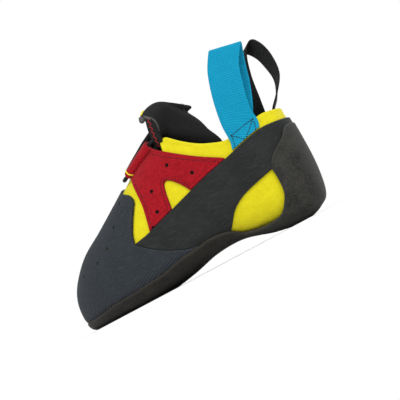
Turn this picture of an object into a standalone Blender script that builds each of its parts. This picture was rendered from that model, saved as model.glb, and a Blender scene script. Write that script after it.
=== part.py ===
"""Left climbing shoe: a downturned last dressed in upper, rubber, suede, strap and two pull loops.

The toe points along -X, the heel along +X, the outer (lateral) side of the foot faces -Y and the
floor is z = 0. Every layer is cut from one set of cross sections of the last, pushed outwards.
"""
from collections import namedtuple
from math import cos, pi, sin

import bmesh
import bpy
import numpy as np
from mathutils import Vector
from mathutils.bvhtree import BVHTree

MM = 0.001

# Sizes of the last
LAST_LENGTH = 243.0 * MM
BALL_WIDTH = 84.0 * MM
HEEL_WIDTH = 55.0 * MM
LAST_HEIGHT = 121.5 * MM
ARCH_RISE = 8.0 * MM

# Thickness of the layers, from the foot outwards
WALL = 2.0 * MM
FIT = 0.3 * MM
SKIN = 2.0 * MM
RUBBER_WALL = 2.7 * MM
SOLE_THICK = 4.2 * MM
INSOLE_THICK = 1.6 * MM
TONGUE_THICK = 2.2 * MM
STRAP_THICK = 1.6 * MM
WEBBING_THICK = 1.4 * MM

# Closure and openings
LASTING_MARGIN = 19.0 * MM
RING_WIRE = 3.2 * MM
RING_SPAN = 10.5 * MM
KEEPER_WIDTH = 10.4 * MM
KEEPER_HEIGHT = 7.2 * MM
SLACK = 0.4 * MM
TONGUE_GAP = 0.8 * MM
WEBBING_GAP = 0.9 * MM
INSOLE_GAP = 0.9 * MM

# Heights that follow from the layers
SEAT = WALL + FIT + SOLE_THICK
SKIN_IN = WALL + FIT
SKIN_OUT = SKIN_IN + SKIN
RUBBER_OUT = SKIN_IN + RUBBER_WALL
RING_LIFT = WALL + FIT + SLACK + KEEPER_HEIGHT / 2

# Fineness of the mesh, and the slivers and creases that the finished pieces allow
POINTS_PER_RING = 30
WELD = 0.02 * MM
SLIVER = 0.01 * MM
CREASE_ANGLE = 0.7

# Reach of cutters that go right through the shoe
FAR = 3.0 * LAST_LENGTH

# Cross sections of the last, from the toe tip to the back of the heel.
# station: share of the length. lateral, medial: edges as shares of the row's width.
# heel: how far the width follows the heel rather than the ball. top, spring: height of the crown
# and lift of the underside, shares of the height. arch: share of the arch rise.
# outer, inner: height of the widest place on the lateral and medial side, shares of the height.
# crown, keel: roundness of the upper and lower half, 2 is an ellipse and more is boxier.
# rubber: thickness under the last as a share of the sole's. edge: roundness of the rubber's edge.
Row = namedtuple("Row", "station lateral medial heel top spring arch outer inner crown keel rubber edge")
LAST = [
    Row(0.000, 0.226, 0.226, 0.0, 0.103, 0.103, 0.00, 0.103, 0.103, 2.2, 2.6, 2.05, 3.0),
    Row(0.006, 0.060, 0.369, 0.0, 0.202, 0.029, 0.00, 0.086, 0.086, 2.2, 2.8, 1.48, 3.0),
    Row(0.027, -0.083, 0.429, 0.0, 0.267, 0.006, 0.00, 0.078, 0.078, 2.2, 3.0, 1.24, 3.2),
    Row(0.068, -0.214, 0.476, 0.0, 0.346, 0.000, 0.00, 0.078, 0.078, 2.2, 3.2, 1.17, 3.4),
    Row(0.142, -0.363, 0.500, 0.0, 0.449, 0.000, 0.00, 0.095, 0.095, 2.2, 3.2, 1.17, 3.6),
    Row(0.232, -0.458, 0.512, 0.0, 0.539, 0.000, 0.00, 0.111, 0.111, 2.1, 3.2, 1.17, 3.6),
    Row(0.335, -0.506, 0.488, 0.0, 0.654, 0.000, 0.06, 0.128, 0.136, 2.0, 3.0, 1.29, 3.4),
    Row(0.447, -0.488, 0.417, 0.0, 0.786, 0.000, 0.44, 0.160, 0.177, 1.9, 2.6, 1.12, 3.0),
    Row(0.562, -0.497, 0.401, 0.4, 0.909, 0.000, 0.94, 0.210, 0.226, 1.9, 2.3, 0.64, 2.6),
    Row(0.677, -0.518, 0.436, 0.8, 0.967, 0.000, 1.00, 0.259, 0.259, 2.0, 2.2, 0.64, 2.4),
    Row(0.788, -0.527, 0.473, 1.0, 1.000, 0.000, 0.38, 0.309, 0.309, 2.2, 2.3, 1.24, 2.4),
    Row(0.883, -0.500, 0.464, 1.0, 1.000, 0.000, 0.00, 0.325, 0.325, 2.3, 2.5, 1.17, 2.5),
    Row(0.949, -0.400, 0.391, 1.0, 0.951, 0.029, 0.00, 0.342, 0.342, 2.3, 2.4, 0.88, 2.4),
    Row(0.986, -0.255, 0.255, 1.0, 0.786, 0.128, 0.00, 0.374, 0.374, 2.2, 2.2, 1.12, 2.2),
    Row(1.000, 0.000, 0.000, 1.0, 0.407, 0.407, 0.00, 0.407, 0.407, 2.2, 2.2, -0.55, 2.2),
]

# Rows of the table, and places halfway between them, that carry a ring of the mesh
RING_PLACES = [0.0, 0.5, 1.0, 2.0] + [row / 2 for row in range(6, 25)] + [13.0, 13.5, 14.0]

# Lines drawn on the side of the shoe: share of the length, share of the height above the seat
Mark = namedtuple("Mark", "along up")
SOLE_EDGE = [
    Mark(-0.050, 0.012), Mark(0.000, 0.015), Mark(0.134, 0.027), Mark(0.208, 0.044),
    Mark(0.302, 0.052), Mark(0.364, 0.063), Mark(0.426, 0.070), Mark(0.471, 0.092),
    Mark(0.516, 0.108), Mark(0.570, 0.117), Mark(0.623, 0.129), Mark(0.681, 0.108),
    Mark(0.710, 0.060), Mark(0.747, 0.010), Mark(0.760, -0.100),
]
RAND_TOP = [
    Mark(0.381, 0.333), Mark(0.447, 0.358), Mark(0.549, 0.421), Mark(0.636, 0.473),
    Mark(0.714, 0.514), Mark(0.792, 0.547), Mark(0.879, 0.588), Mark(0.932, 0.610),
    Mark(0.973, 0.608), Mark(1.080, 0.590),
]
FLAP_EDGE = [
    Mark(0.566, 0.148), Mark(0.525, 0.158), Mark(0.471, 0.202), Mark(0.422, 0.267),
    Mark(0.381, 0.333),
]
PATCH_EDGE = [
    Mark(0.381, 0.333), Mark(0.384, 0.400), Mark(0.397, 0.480), Mark(0.414, 0.547),
    Mark(0.425, 0.600), Mark(0.421, 0.650), Mark(0.405, 0.705), Mark(0.398, 0.860),
]
CUP_SEAM = [
    Mark(1.080, 0.560), Mark(1.010, 0.556), Mark(0.990, 0.506), Mark(0.969, 0.449),
    Mark(0.928, 0.412), Mark(0.920, 0.383), Mark(0.912, 0.342),
]
LEAF_WINDOW = [
    Mark(0.913, 0.342), Mark(0.916, 0.267), Mark(0.912, 0.177), Mark(0.895, 0.111),
    Mark(0.862, 0.046), Mark(0.817, 0.026), Mark(0.780, 0.026), Mark(0.743, 0.036),
    Mark(0.712, 0.058), Mark(0.674, 0.110), Mark(0.706, 0.164), Mark(0.739, 0.226),
    Mark(0.784, 0.276), Mark(0.844, 0.309), Mark(0.887, 0.329),
]
RED_EDGE = [
    Mark(0.447, 0.330), Mark(0.459, 0.490), Mark(0.459, 0.585), Mark(0.447, 0.738),
    Mark(0.503, 0.805), Mark(0.561, 0.861), Mark(0.586, 0.819), Mark(0.698, 0.663),
    Mark(0.792, 0.547), Mark(0.800, 0.500),
]
RED_WINDOW = [
    Mark(0.549, 0.400), Mark(0.553, 0.481), Mark(0.556, 0.547), Mark(0.562, 0.597),
    Mark(0.574, 0.609), Mark(0.591, 0.588), Mark(0.615, 0.535), Mark(0.640, 0.460),
]
COLLAR_EDGE = [
    Mark(0.590, 1.200), Mark(0.590, 0.910), Mark(0.598, 0.889), Mark(0.617, 0.880),
    Mark(0.677, 0.794), Mark(0.726, 0.725), Mark(0.772, 0.682), Mark(0.809, 0.658),
    Mark(0.850, 0.654), Mark(0.905, 0.675), Mark(0.953, 0.695), Mark(0.990, 0.687),
    Mark(1.080, 0.670),
]

# Throat slot seen from above: share of the length, lateral and medial edge as shares of the ball
# width. It is cut from above down to a share of the height.
THROAT_FLOOR = 0.5
Slot = namedtuple("Slot", "along lateral medial")
THROAT = [
    Slot(0.430, -0.036, -0.034), Slot(0.436, -0.110, 0.035), Slot(0.455, -0.140, 0.070),
    Slot(0.520, -0.162, 0.095), Slot(0.600, -0.190, 0.110), Slot(0.640, -0.190, 0.110),
]

# Insole: first and final row of the last that it covers, points across it, turned-up edge
INSOLE_ROWS = (2.0, 12.0)
INSOLE_POINTS = 9
INSOLE_EDGE = 4.0 * MM

# Tongue: rows of the last that its lower part follows, then its free rows above the throat with
# lateral end, crown and medial end, each as share of the length, the ball width and the height
TONGUE_ROWS = (6.5, 8.0)
TONGUE_TOP = [
    (0.596, -0.165, 0.880, 0.612, -0.015, 0.935, 0.635, 0.100, 0.870),
    (0.604, -0.172, 0.940, 0.636, 0.010, 0.995, 0.700, 0.190, 0.820),
    (0.600, -0.195, 1.010, 0.645, 0.015, 1.065, 0.708, 0.240, 0.935),
    (0.590, -0.215, 1.060, 0.642, 0.010, 1.115, 0.692, 0.262, 1.030),
    (0.572, -0.238, 1.078, 0.622, 0.000, 1.135, 0.672, 0.268, 1.050),
    (0.556, -0.245, 1.040, 0.602, -0.010, 1.100, 0.652, 0.262, 1.010),
]

# Strap and ring: the ring ends before the tongue's free rows, at a share of the length.
# turn: way round the last from the crown, 1 is the widest place of the medial side
RING_REAR = 0.5885
RING_LENGTH = 41.0 * MM
RING_FRONT = RING_REAR * LAST_LENGTH - RING_LENGTH
STRAP_FRONT = RING_FRONT + 1.5 * RING_WIRE
STRAP_WIDTH = RING_LENGTH - 3.0 * RING_WIRE
RING_TURN = 0.0
Layer = namedtuple("Layer", "turn overlay strap bar")
STRAP_UNDER = [
    Layer(0.42, 1.0, 0.0, 0.0), Layer(0.34, 1.0, 0.0, 0.0), Layer(0.26, 1.0, 0.0, 0.0),
    Layer(0.18, 1.0, 0.0, 0.0), Layer(0.11, 0.9, 0.0, 0.0), Layer(0.04, 0.0, 0.0, 0.0),
]
STRAP_OVER = [
    Layer(0.03, 0.0, 0.0, 1.0), Layer(0.10, 0.2, 0.2, 0.8), Layer(0.18, 1.0, 0.7, 0.3),
    Layer(0.26, 1.0, 1.0, 0.0), Layer(0.34, 1.0, 1.0, 0.0), Layer(0.42, 1.0, 1.0, 0.0),
    Layer(0.50, 1.0, 0.6, 0.0), Layer(0.58, 1.0, 0.1, 0.0), Layer(0.64, 1.0, 0.0, 0.0),
]

# Pull loops: front edge and back edge of each row of the webbing, each as share of the length,
# share of the heel width and share of the height. hold: 1 lies outside the collar wall,
# -1 lies inside it, 0 hangs free.
Webbing = namedtuple("Webbing", "front front_out front_up back back_out back_up hold")
BLUE_LOOP = [
    Webbing(0.828, -1.0, 0.585, 0.939, -1.0, 0.632, 1),
    Webbing(0.836, -1.0, 0.640, 0.944, -1.0, 0.680, 1),
    Webbing(0.838, -0.600, 0.755, 0.945, -0.520, 0.765, 0),
    Webbing(0.854, -0.600, 0.926, 0.957, -0.520, 0.910, 0),
    Webbing(0.878, -0.570, 1.090, 0.977, -0.500, 1.050, 0),
    Webbing(0.907, -0.520, 1.200, 1.010, -0.470, 1.150, 0),
    Webbing(0.912, -0.460, 1.218, 1.014, -0.420, 1.168, 0),
    Webbing(0.906, -0.400, 1.195, 1.008, -0.370, 1.145, 0),
    Webbing(0.886, -0.340, 1.080, 0.988, -0.310, 1.050, 0),
    Webbing(0.864, -0.340, 0.920, 0.967, -0.290, 0.910, 0),
    Webbing(0.842, -0.420, 0.770, 0.944, -0.350, 0.775, 0),
    Webbing(0.838, -1.0, 0.660, 0.925, -1.0, 0.690, -1),
    Webbing(0.832, -1.0, 0.590, 0.920, -1.0, 0.620, -1),
]
BLACK_LOOP = [
    Webbing(0.858, 1.0, 0.580, 0.930, 1.0, 0.600, -1),
    Webbing(0.860, 1.0, 0.680, 0.934, 1.0, 0.695, -1),
    Webbing(0.866, 0.330, 0.835, 0.944, 0.280, 0.835, 0),
    Webbing(0.878, 0.400, 0.983, 0.953, 0.310, 0.992, 0),
    Webbing(0.911, 0.470, 1.099, 0.977, 0.265, 1.132, 0),
    Webbing(0.957, 0.470, 1.160, 1.014, 0.230, 1.198, 0),
    Webbing(0.994, 0.380, 1.091, 1.045, 0.110, 1.132, 0),
    Webbing(1.014, 0.290, 0.984, 1.062, 0.020, 1.016, 0),
    Webbing(1.020, 0.260, 0.876, 1.058, -0.035, 0.885, 0),
    Webbing(1.000, 0.230, 0.770, 1.020, -0.060, 0.775, 0),
    Webbing(0.968, 0.210, 0.690, 0.982, -0.060, 0.690, 0),
    Webbing(0.955, 0.200, 0.600, 0.976, -0.060, 0.600, 0),
]

# Colour and roughness of each piece
YELLOW, RED, BLUE = (0.84, 0.76, 0.06), (0.42, 0.01, 0.02), (0.01, 0.36, 0.60)
BLACK, RUBBER = (0.012, 0.012, 0.012), (0.028, 0.030, 0.032)
FINISHES = {
    "upper": (YELLOW, 0.85), "insole": (RUBBER, 0.90), "outsole": (RUBBER, 0.60),
    "heel_cup": (RUBBER, 0.60), "rand": (RUBBER, 0.60), "toe_cap": (RUBBER, 0.65),
    "overlay_lateral": (RED, 0.90), "overlay_medial": (RED, 0.90), "tongue": (BLACK, 0.90),
    "strap": (BLACK, 0.85), "ring": (BLACK, 0.45), "keeper_loop": (RED, 0.90),
    "blue_loop": (BLUE, 0.80), "black_loop": (BLACK, 0.85),
}


def catmull(points, places):
    """Read a smooth curve through rows of numbers at fractional row places."""
    points = np.asarray(points, float)
    rows = np.vstack([2 * points[0] - points[1], points, 2 * points[-1] - points[-2]])
    return blend_rows(rows, places)


def blend_rows(rows, places):
    """Blend rows that already carry one guide row at each end."""
    count = len(rows) - 3
    result = []
    for place in places:
        first = min(int(place), count - 1)
        t = place - first
        a, b, c, d = rows[first:first + 4]
        result.append(0.5 * (2 * b + (c - a) * t + (2 * a - 5 * b + 4 * c - d) * t ** 2
                             + (3 * b - a - 3 * c + d) * t ** 3))
    return np.array(result)


def last_rows(growth=0.0, rubber=False):
    """Cross sections as lengths: x, lateral y, medial y, bottom, top, outer, inner, crown, keel."""
    rows = []
    for number, row in enumerate(LAST):
        width = BALL_WIDTH * (1 - row.heel) + HEEL_WIDTH * row.heel
        bottom = SEAT + row.spring * LAST_HEIGHT + row.arch * ARCH_RISE
        top, outer, inner = (SEAT + share * LAST_HEIGHT for share in (row.top, row.outer, row.inner))
        keel = row.keel
        end = number in (0, len(LAST) - 1)
        if rubber:
            bottom -= SKIN_IN + row.rubber * SOLE_THICK
            keel = row.edge
            if end:
                top = outer = inner = bottom
        side = 0.0 if end else growth
        reach = (row.station - 0.5) * (LAST_LENGTH + 2 * growth)
        rows.append((reach, row.lateral * width - side, row.medial * width + side, bottom,
                     top if end else top + growth, outer, inner, row.crown, keel))
    return np.array(rows)


def guided(rows):
    """Add a mirrored guide row at each end so that toe and heel close roundly."""
    even = np.array([True, False, False, False, False, True, True, True, True])
    before = np.where(even, rows[1], 2 * rows[0] - rows[1])
    after = np.where(even, rows[-2], 2 * rows[-1] - rows[-2])
    return np.vstack([before, rows, after])


def section_loop(row, count):
    """Points round one cross section, evenly spaced, from the lateral side down and round."""
    x, lateral, medial, bottom, top, outer, inner, crown, keel = row
    middle = (lateral + medial) / 2
    half = (medial - lateral) / 2
    angles = np.linspace(0.0, 2 * pi, 361)
    across, rise = np.cos(angles), -np.sin(angles)
    wide = np.where(across > 0, outer, inner)
    roundness = np.where(rise <= 0, keel, crown)
    tall = np.where(rise <= 0, wide - bottom, top - wide)
    y = middle - half * np.sign(across) * np.abs(across) ** (2 / roundness)
    z = wide + tall * np.sign(rise) * np.abs(rise) ** (2 / roundness)
    steps = np.concatenate([[0.0], np.cumsum(np.hypot(np.diff(y), np.diff(z)))])
    places = np.linspace(0.0, steps[-1], count + 1)[:-1]
    return np.column_stack([np.full(count, x), np.interp(places, steps, y),
                            np.interp(places, steps, z)])


def form_grid(growth=0.0, rubber=False):
    """The last as a grid of points: rings from toe to heel, each ring a cross section."""
    rows = guided(last_rows(growth if rubber else 0.0, rubber))
    grid = np.array([section_loop(row, POINTS_PER_RING) for row in blend_rows(rows, RING_PLACES)])
    if rubber:
        return grid
    return grid + growth * outward(grid)


def outward(grid):
    """Unit normals of the grid; the two poles look along the shoe."""
    along = np.gradient(grid, axis=0)
    around = np.roll(grid, -1, axis=1) - np.roll(grid, 1, axis=1)
    normal = np.cross(around, along)
    normal[0] = (-1.0, 0.0, 0.0)
    normal[-1] = (1.0, 0.0, 0.0)
    return normal / np.linalg.norm(normal, axis=2, keepdims=True)


def add_form(bm, grid, inside=False):
    """Add one closed form to a bmesh, turned inside out where it is a hollow."""
    toe = bm.verts.new(grid[0, 0])
    heel = bm.verts.new(grid[-1, 0])
    rings = [[bm.verts.new(point) for point in ring] for ring in grid[1:-1]]
    faces = []
    for a, b in zip(rings, rings[1:]):
        for j in range(len(a)):
            k = (j + 1) % len(a)
            faces.append(bm.faces.new((a[j], b[k], b[j])))
            faces.append(bm.faces.new((a[j], a[k], b[k])))
    for j in range(len(rings[0])):
        k = (j + 1) % len(rings[0])
        faces.append(bm.faces.new((toe, rings[0][k], rings[0][j])))
        faces.append(bm.faces.new((heel, rings[-1][j], rings[-1][k])))
    if inside:
        bmesh.ops.reverse_faces(bm, faces=faces)


def add_object(name, bm):
    """Make an object from a bmesh."""
    mesh = bpy.data.meshes.new(name)
    bm.to_mesh(mesh)
    bm.free()
    made = bpy.data.objects.new(name, mesh)
    bpy.context.collection.objects.link(made)
    return made


def shell(name, outer_grid, inner_grid):
    """A closed layer between two forms."""
    bm = bmesh.new()
    add_form(bm, outer_grid)
    add_form(bm, inner_grid, inside=True)
    return add_object(name, bm)


def spot(mark):
    """A mark on the side of the shoe as x and z."""
    return ((mark.along - 0.5) * LAST_LENGTH, SEAT + mark.up * LAST_HEIGHT)


def side_line(marks):
    """A smooth line through marks on the side of the shoe, with one point more between two marks."""
    spots = [spot(mark) for mark in marks]
    places = np.linspace(0, len(spots) - 1, 2 * len(spots) - 1)
    return [tuple(point) for point in catmull(spots, places)]


def grown(outline, distance):
    """Push a closed outline outwards by a distance."""
    points = np.array(outline)
    before = points - np.roll(points, 1, axis=0)
    after = np.roll(points, -1, axis=0) - points
    area = np.sum(points[:, 0] * np.roll(points[:, 1], -1) - points[:, 1] * np.roll(points[:, 0], -1))
    turn = 1.0 if area > 0 else -1.0
    normals = []
    for edge in (before, after):
        length = np.linalg.norm(edge, axis=1, keepdims=True)
        normals.append(turn * np.column_stack([edge[:, 1], -edge[:, 0]]) / length)
    mean = normals[0] + normals[1]
    mean /= np.linalg.norm(mean, axis=1, keepdims=True)
    reach = distance / np.clip(np.sum(mean * normals[0], axis=1, keepdims=True), 0.5, 1.0)
    return [tuple(point) for point in points + mean * reach]


def prism(outline, start, end, upright=False):
    """A cutter: an x, z outline drawn along Y, or an x, y outline drawn along Z."""
    bm = bmesh.new()
    loops = []
    for depth in (start, end):
        loops.append([bm.verts.new((u, v, depth) if upright else (u, depth, v)) for u, v in outline])
    count = len(outline)
    for j in range(count):
        k = (j + 1) % count
        bm.faces.new((loops[0][j], loops[0][k], loops[1][k], loops[1][j]))
    bm.faces.new(list(reversed(loops[0])))
    bm.faces.new(loops[1])
    bmesh.ops.recalc_face_normals(bm, faces=bm.faces)
    cutter = add_object("cutter", bm)
    cutter.hide_render = True
    cutter.display_type = "WIRE"
    return cutter


def carve(target, operation, cutter):
    """Cut a target with a cutter, keep the result and drop the cutter."""
    step = target.modifiers.new("carve", "BOOLEAN")
    step.operation = operation
    step.object = cutter
    step.solver = "EXACT"
    graph = bpy.context.evaluated_depsgraph_get()
    mesh = bpy.data.meshes.new_from_object(target.evaluated_get(graph))
    target.modifiers.clear()
    target.data = mesh
    bpy.data.objects.remove(cutter)


def keep(target, outline, start=-FAR, end=FAR):
    """Keep what lies behind an outline on the side of the shoe."""
    carve(target, "INTERSECT", prism(outline, start, end))


def drop(target, outline, start=-FAR, end=FAR):
    """Remove what lies behind an outline on the side of the shoe."""
    carve(target, "DIFFERENCE", prism(outline, start, end))


def tidy(target):
    """Weld hair-thin slivers left by the cuts and shade the piece smooth."""
    bm = bmesh.new()
    bm.from_mesh(target.data)
    bmesh.ops.remove_doubles(bm, verts=bm.verts, dist=WELD)
    bmesh.ops.dissolve_degenerate(bm, edges=bm.edges, dist=SLIVER)
    bmesh.ops.triangulate(bm, faces=[face for face in bm.faces if len(face.verts) > 4])
    bm.to_mesh(target.data)
    bm.free()
    target.data.shade_smooth()
    target.data.set_sharp_from_angle(angle=CREASE_ANGLE)


def paint(target, colour, roughness):
    """Give a piece its own material."""
    material = bpy.data.materials.new(target.name)
    material.use_nodes = True
    shader = material.node_tree.nodes["Principled BSDF"]
    shader.inputs["Base Color"].default_value = (*colour, 1.0)
    shader.inputs["Roughness"].default_value = roughness
    shader.inputs["Metallic"].default_value = 0.0
    target.data.materials.clear()
    target.data.materials.append(material)


def region(name):
    """Closed outlines of the pieces on the side of the shoe."""
    left, right = -FAR, FAR
    low, high = -FAR, FAR
    if name == "outsole":
        return side_line(SOLE_EDGE) + [(spot(SOLE_EDGE[-1])[0], low), (left, low),
                                       (left, spot(SOLE_EDGE[0])[1])]
    if name == "heel_cup":
        front = spot(LEAF_WINDOW[9])
        return side_line(CUP_SEAM) + [front, (front[0], low), (right, low),
                                      (right, spot(CUP_SEAM[0])[1])]
    if name == "rand":
        return side_line(RAND_TOP) + [(right, spot(RAND_TOP[-1])[1]), (right, low),
                                      (spot(FLAP_EDGE[0])[0], low)] + side_line(FLAP_EDGE)[:-1]
    if name == "toe_cap":
        return side_line(FLAP_EDGE) + side_line(PATCH_EDGE)[1:] + [
            (spot(PATCH_EDGE[-1])[0], high), (left, high), (left, low), (spot(FLAP_EDGE[0])[0], low)]
    if name == "leaf_window":
        return side_line(LEAF_WINDOW[:10]) + side_line(LEAF_WINDOW[9:] + LEAF_WINDOW[:1])[1:-1]
    if name == "collar":
        return side_line(COLLAR_EDGE) + [(right, spot(COLLAR_EDGE[-1])[1]), (right, high),
                                            (spot(COLLAR_EDGE[0])[0], high)]
    if name == "red":
        return side_line(RED_EDGE[:4]) + side_line(RED_EDGE[3:6])[1:] + side_line(RED_EDGE[5:])[1:]
    return side_line(RED_WINDOW)


def throat_outline():
    """Closed outline of the throat slot seen from above."""
    rows = catmull(THROAT, np.linspace(0, len(THROAT) - 1, 2 * len(THROAT) - 1))
    edge = [((row[0] - 0.5) * LAST_LENGTH, row[1] * BALL_WIDTH) for row in rows]
    back = [((row[0] - 0.5) * LAST_LENGTH, row[2] * BALL_WIDTH) for row in rows[::-1]]
    return edge + back


def on_last(x, turn, lift):
    """A place on the upper half of the last: turn runs from -1 lateral through 0 crown to 1 medial.

    Returns the point moved outwards by lift and the outward normal there.
    """
    def place(at, angle):
        rows = last_rows()
        stations = rows[:, 0]
        row = [np.interp(at, stations, rows[:, column]) for column in range(rows.shape[1])]
        middle, half = (row[1] + row[2]) / 2, (row[2] - row[1]) / 2
        wide = row[5] if angle < 0 else row[6]
        bend = 2 / row[7]
        swing = angle * pi / 2
        return np.array([at, middle + half * np.sign(swing) * abs(sin(swing)) ** bend,
                         wide + (row[4] - wide) * abs(cos(swing)) ** bend])

    step = 0.02
    along = place(x + 2 * MM, turn) - place(x - 2 * MM, turn)
    across = place(x, turn + step) - place(x, turn - step)
    normal = np.cross(along, across)
    normal /= np.linalg.norm(normal)
    return place(x, turn) + lift * normal, normal


def sheet(name, grid, thickness):
    """A closed sheet of even thickness about a grid of middle points."""
    grid = np.asarray(grid, float)
    along = np.gradient(grid, axis=0)
    across = np.gradient(grid, axis=1)
    normal = np.cross(along, across)
    normal /= np.linalg.norm(normal, axis=2, keepdims=True)
    return slab(name, grid + normal * thickness / 2, grid - normal * thickness / 2)


def slab(name, upper_grid, lower_grid):
    """A closed slab between two open grids of the same shape."""
    bm = bmesh.new()
    top = [[bm.verts.new(point) for point in line] for line in upper_grid]
    under = [[bm.verts.new(point) for point in line] for line in lower_grid]
    rows, columns = len(top), len(top[0])
    for i in range(rows - 1):
        for j in range(columns - 1):
            bm.faces.new((top[i][j], top[i + 1][j], top[i + 1][j + 1], top[i][j + 1]))
            bm.faces.new((under[i][j], under[i][j + 1], under[i + 1][j + 1], under[i + 1][j]))
    for i in range(rows - 1):
        bm.faces.new((top[i][0], under[i][0], under[i + 1][0], top[i + 1][0]))
        bm.faces.new((top[i][-1], top[i + 1][-1], under[i + 1][-1], under[i][-1]))
    for j in range(columns - 1):
        bm.faces.new((top[0][j], top[0][j + 1], under[0][j + 1], under[0][j]))
        bm.faces.new((top[-1][j], under[-1][j], under[-1][j + 1], top[-1][j + 1]))
    bmesh.ops.recalc_face_normals(bm, faces=bm.faces)
    return add_object(name, bm)


def make_upper():
    """Hollow upper, open at collar and throat and underneath, where the sole closes it."""
    upper = shell("upper", form_grid(WALL), form_grid())
    drop(upper, region("collar"))
    floor_of_slot = SEAT + THROAT_FLOOR * LAST_HEIGHT
    carve(upper, "DIFFERENCE", prism(throat_outline(), floor_of_slot, FAR, upright=True))
    carve(upper, "DIFFERENCE", underside_cutter())
    return upper


def underside_cutter():
    """The opening under the foot, one lasting margin inside the edge of the last."""
    rows = last_rows()[3:-2]
    upper_grid, lower_grid = [], []
    for row in blend_rows(np.vstack([rows[0], rows, rows[-1]]), np.linspace(0, len(rows) - 1, 19)):
        lateral, medial = row[1] + LASTING_MARGIN, row[2] - LASTING_MARGIN
        spread = np.linspace(lateral, medial, 3)
        upper_grid.append([(row[0], y, row[3] + 2 * WALL) for y in spread])
        lower_grid.append([(row[0], y, -SEAT) for y in spread])
    cutter = slab("cutter", upper_grid, lower_grid)
    cutter.hide_render = True
    cutter.display_type = "WIRE"
    return cutter


def make_insole():
    """Thin board over the inside of the underside, with its edges turned up."""
    grid = form_grid()
    normals = outward(grid)
    upper_grid, lower_grid = [], []
    first, final = (RING_PLACES.index(row) for row in INSOLE_ROWS)
    for ring in range(first, final + 1):
        heights = grid[ring, :, 2]
        under = np.flatnonzero(heights < heights.min() + INSOLE_EDGE)
        places = np.linspace(under[0], under[-1], INSOLE_POINTS)
        count = np.arange(POINTS_PER_RING)
        point, normal = (np.column_stack([np.interp(places, count, values[ring, :, column])
                                          for column in range(3)]) for values in (grid, normals))
        upper_grid.append(point - normal * (INSOLE_GAP + INSOLE_THICK))
        lower_grid.append(point - normal * INSOLE_GAP)
    return slab("insole", upper_grid, lower_grid)


def rubber_layer(name):
    """Rubber between the upper's outside and the outer form, flat where it meets the floor."""
    piece = shell(name, form_grid(RUBBER_OUT, rubber=True), form_grid(SKIN_IN))
    keep(piece, [(-FAR, 0.0), (FAR, 0.0), (FAR, FAR), (-FAR, FAR)])
    return piece


def make_tongue():
    """Elastic tongue: it lies under the throat edges and rises free above the collar.

    Its free rows turn over forwards at the top.
    """
    grid = form_grid(-TONGUE_GAP - TONGUE_THICK / 2)
    first, final = (RING_PLACES.index(row) for row in TONGUE_ROWS)
    crown = int(np.argmax(grid[final, :, 2]))
    rows = [list(row) for row in grid[first:final + 1, crown - 2:crown + 3][:, ::-1]]
    for row in TONGUE_TOP:
        ends = np.array([row[0:3], row[3:6], row[6:9]])
        line = []
        for along, across, up in catmull(ends, np.linspace(0, 2, len(rows[0]))):
            x, z = spot(Mark(along, up))
            line.append((x, across * BALL_WIDTH, z))
        rows.append(line)
    rows = finer(rows, 2)
    return sheet("tongue", finer(rows.swapaxes(0, 1), 2).swapaxes(0, 1), TONGUE_THICK)


def finer(rows, steps):
    """Blend rows of points into a finer run of rows."""
    rows = np.array(rows)
    flat = rows.reshape(len(rows), -1)
    places = np.linspace(0, len(rows) - 1, steps * (len(rows) - 1) + 1)
    return catmull(flat, places).reshape(len(places), *rows.shape[1:])


def beside(x, turn, across, lift):
    """A place off the last, moved across it by a length from a turn, and its outward normal.

    The length is walked in two halves, because a turn covers less where the last is narrow.
    """
    step = 0.01
    for _ in range(2):
        double = np.linalg.norm(on_last(x, turn + step, 0.0)[0] - on_last(x, turn - step, 0.0)[0])
        turn += across * step / double
    return on_last(x, turn, lift)


def strap_track():
    """Stations across the strap's length: turn, length across and lift off the last."""
    low = WALL + SLACK + STRAP_THICK / 2
    bend = RING_LIFT - low
    track = []
    for row in STRAP_UNDER:
        track.append((row.turn, 0.0, low + row.overlay * (SKIN_OUT - WALL)))
    for step in range(1, 8):
        swing = pi * step / 8
        track.append((RING_TURN, -bend * sin(swing), RING_LIFT - bend * cos(swing)))
    for row in STRAP_OVER:
        lift = low + row.overlay * (SKIN_OUT - WALL) + row.strap * (STRAP_THICK + SLACK)
        track.append((row.turn, 0.0, lift + row.bar * 2 * bend))
    return track


def make_strap():
    """Closure strap: it comes up from the inner side, round the ring and back over itself."""
    stations = np.linspace(STRAP_FRONT, STRAP_FRONT + STRAP_WIDTH, 5) - LAST_LENGTH / 2
    grid = [[beside(x, turn, across, lift)[0] for x in stations] for turn, across, lift in strap_track()]
    return sheet("strap", grid, STRAP_THICK)


def ring_path():
    """Rounded rectangle of the ring: place along the shoe and length across from the strap's bar."""
    half_long, half_short = RING_LENGTH / 2, RING_SPAN / 2
    corner = RING_WIRE
    path = []
    for number, (side_x, side_y) in enumerate(((1, 1), (-1, 1), (-1, -1), (1, -1))):
        for step in range(4):
            swing = pi / 2 * (number + step / 3)
            path.append((side_x * (half_long - corner) + corner * cos(swing),
                         side_y * (half_short - corner) + corner * sin(swing) - half_short))
    filled = []
    for a, b in zip(path, path[1:] + path[:1]):
        parts = max(1, round(float(np.hypot(b[0] - a[0], b[1] - a[1]) / (2 * RING_WIRE))))
        filled += [(a[0] + (b[0] - a[0]) * n / parts, a[1] + (b[1] - a[1]) * n / parts)
                   for n in range(parts)]
    return filled


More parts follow.
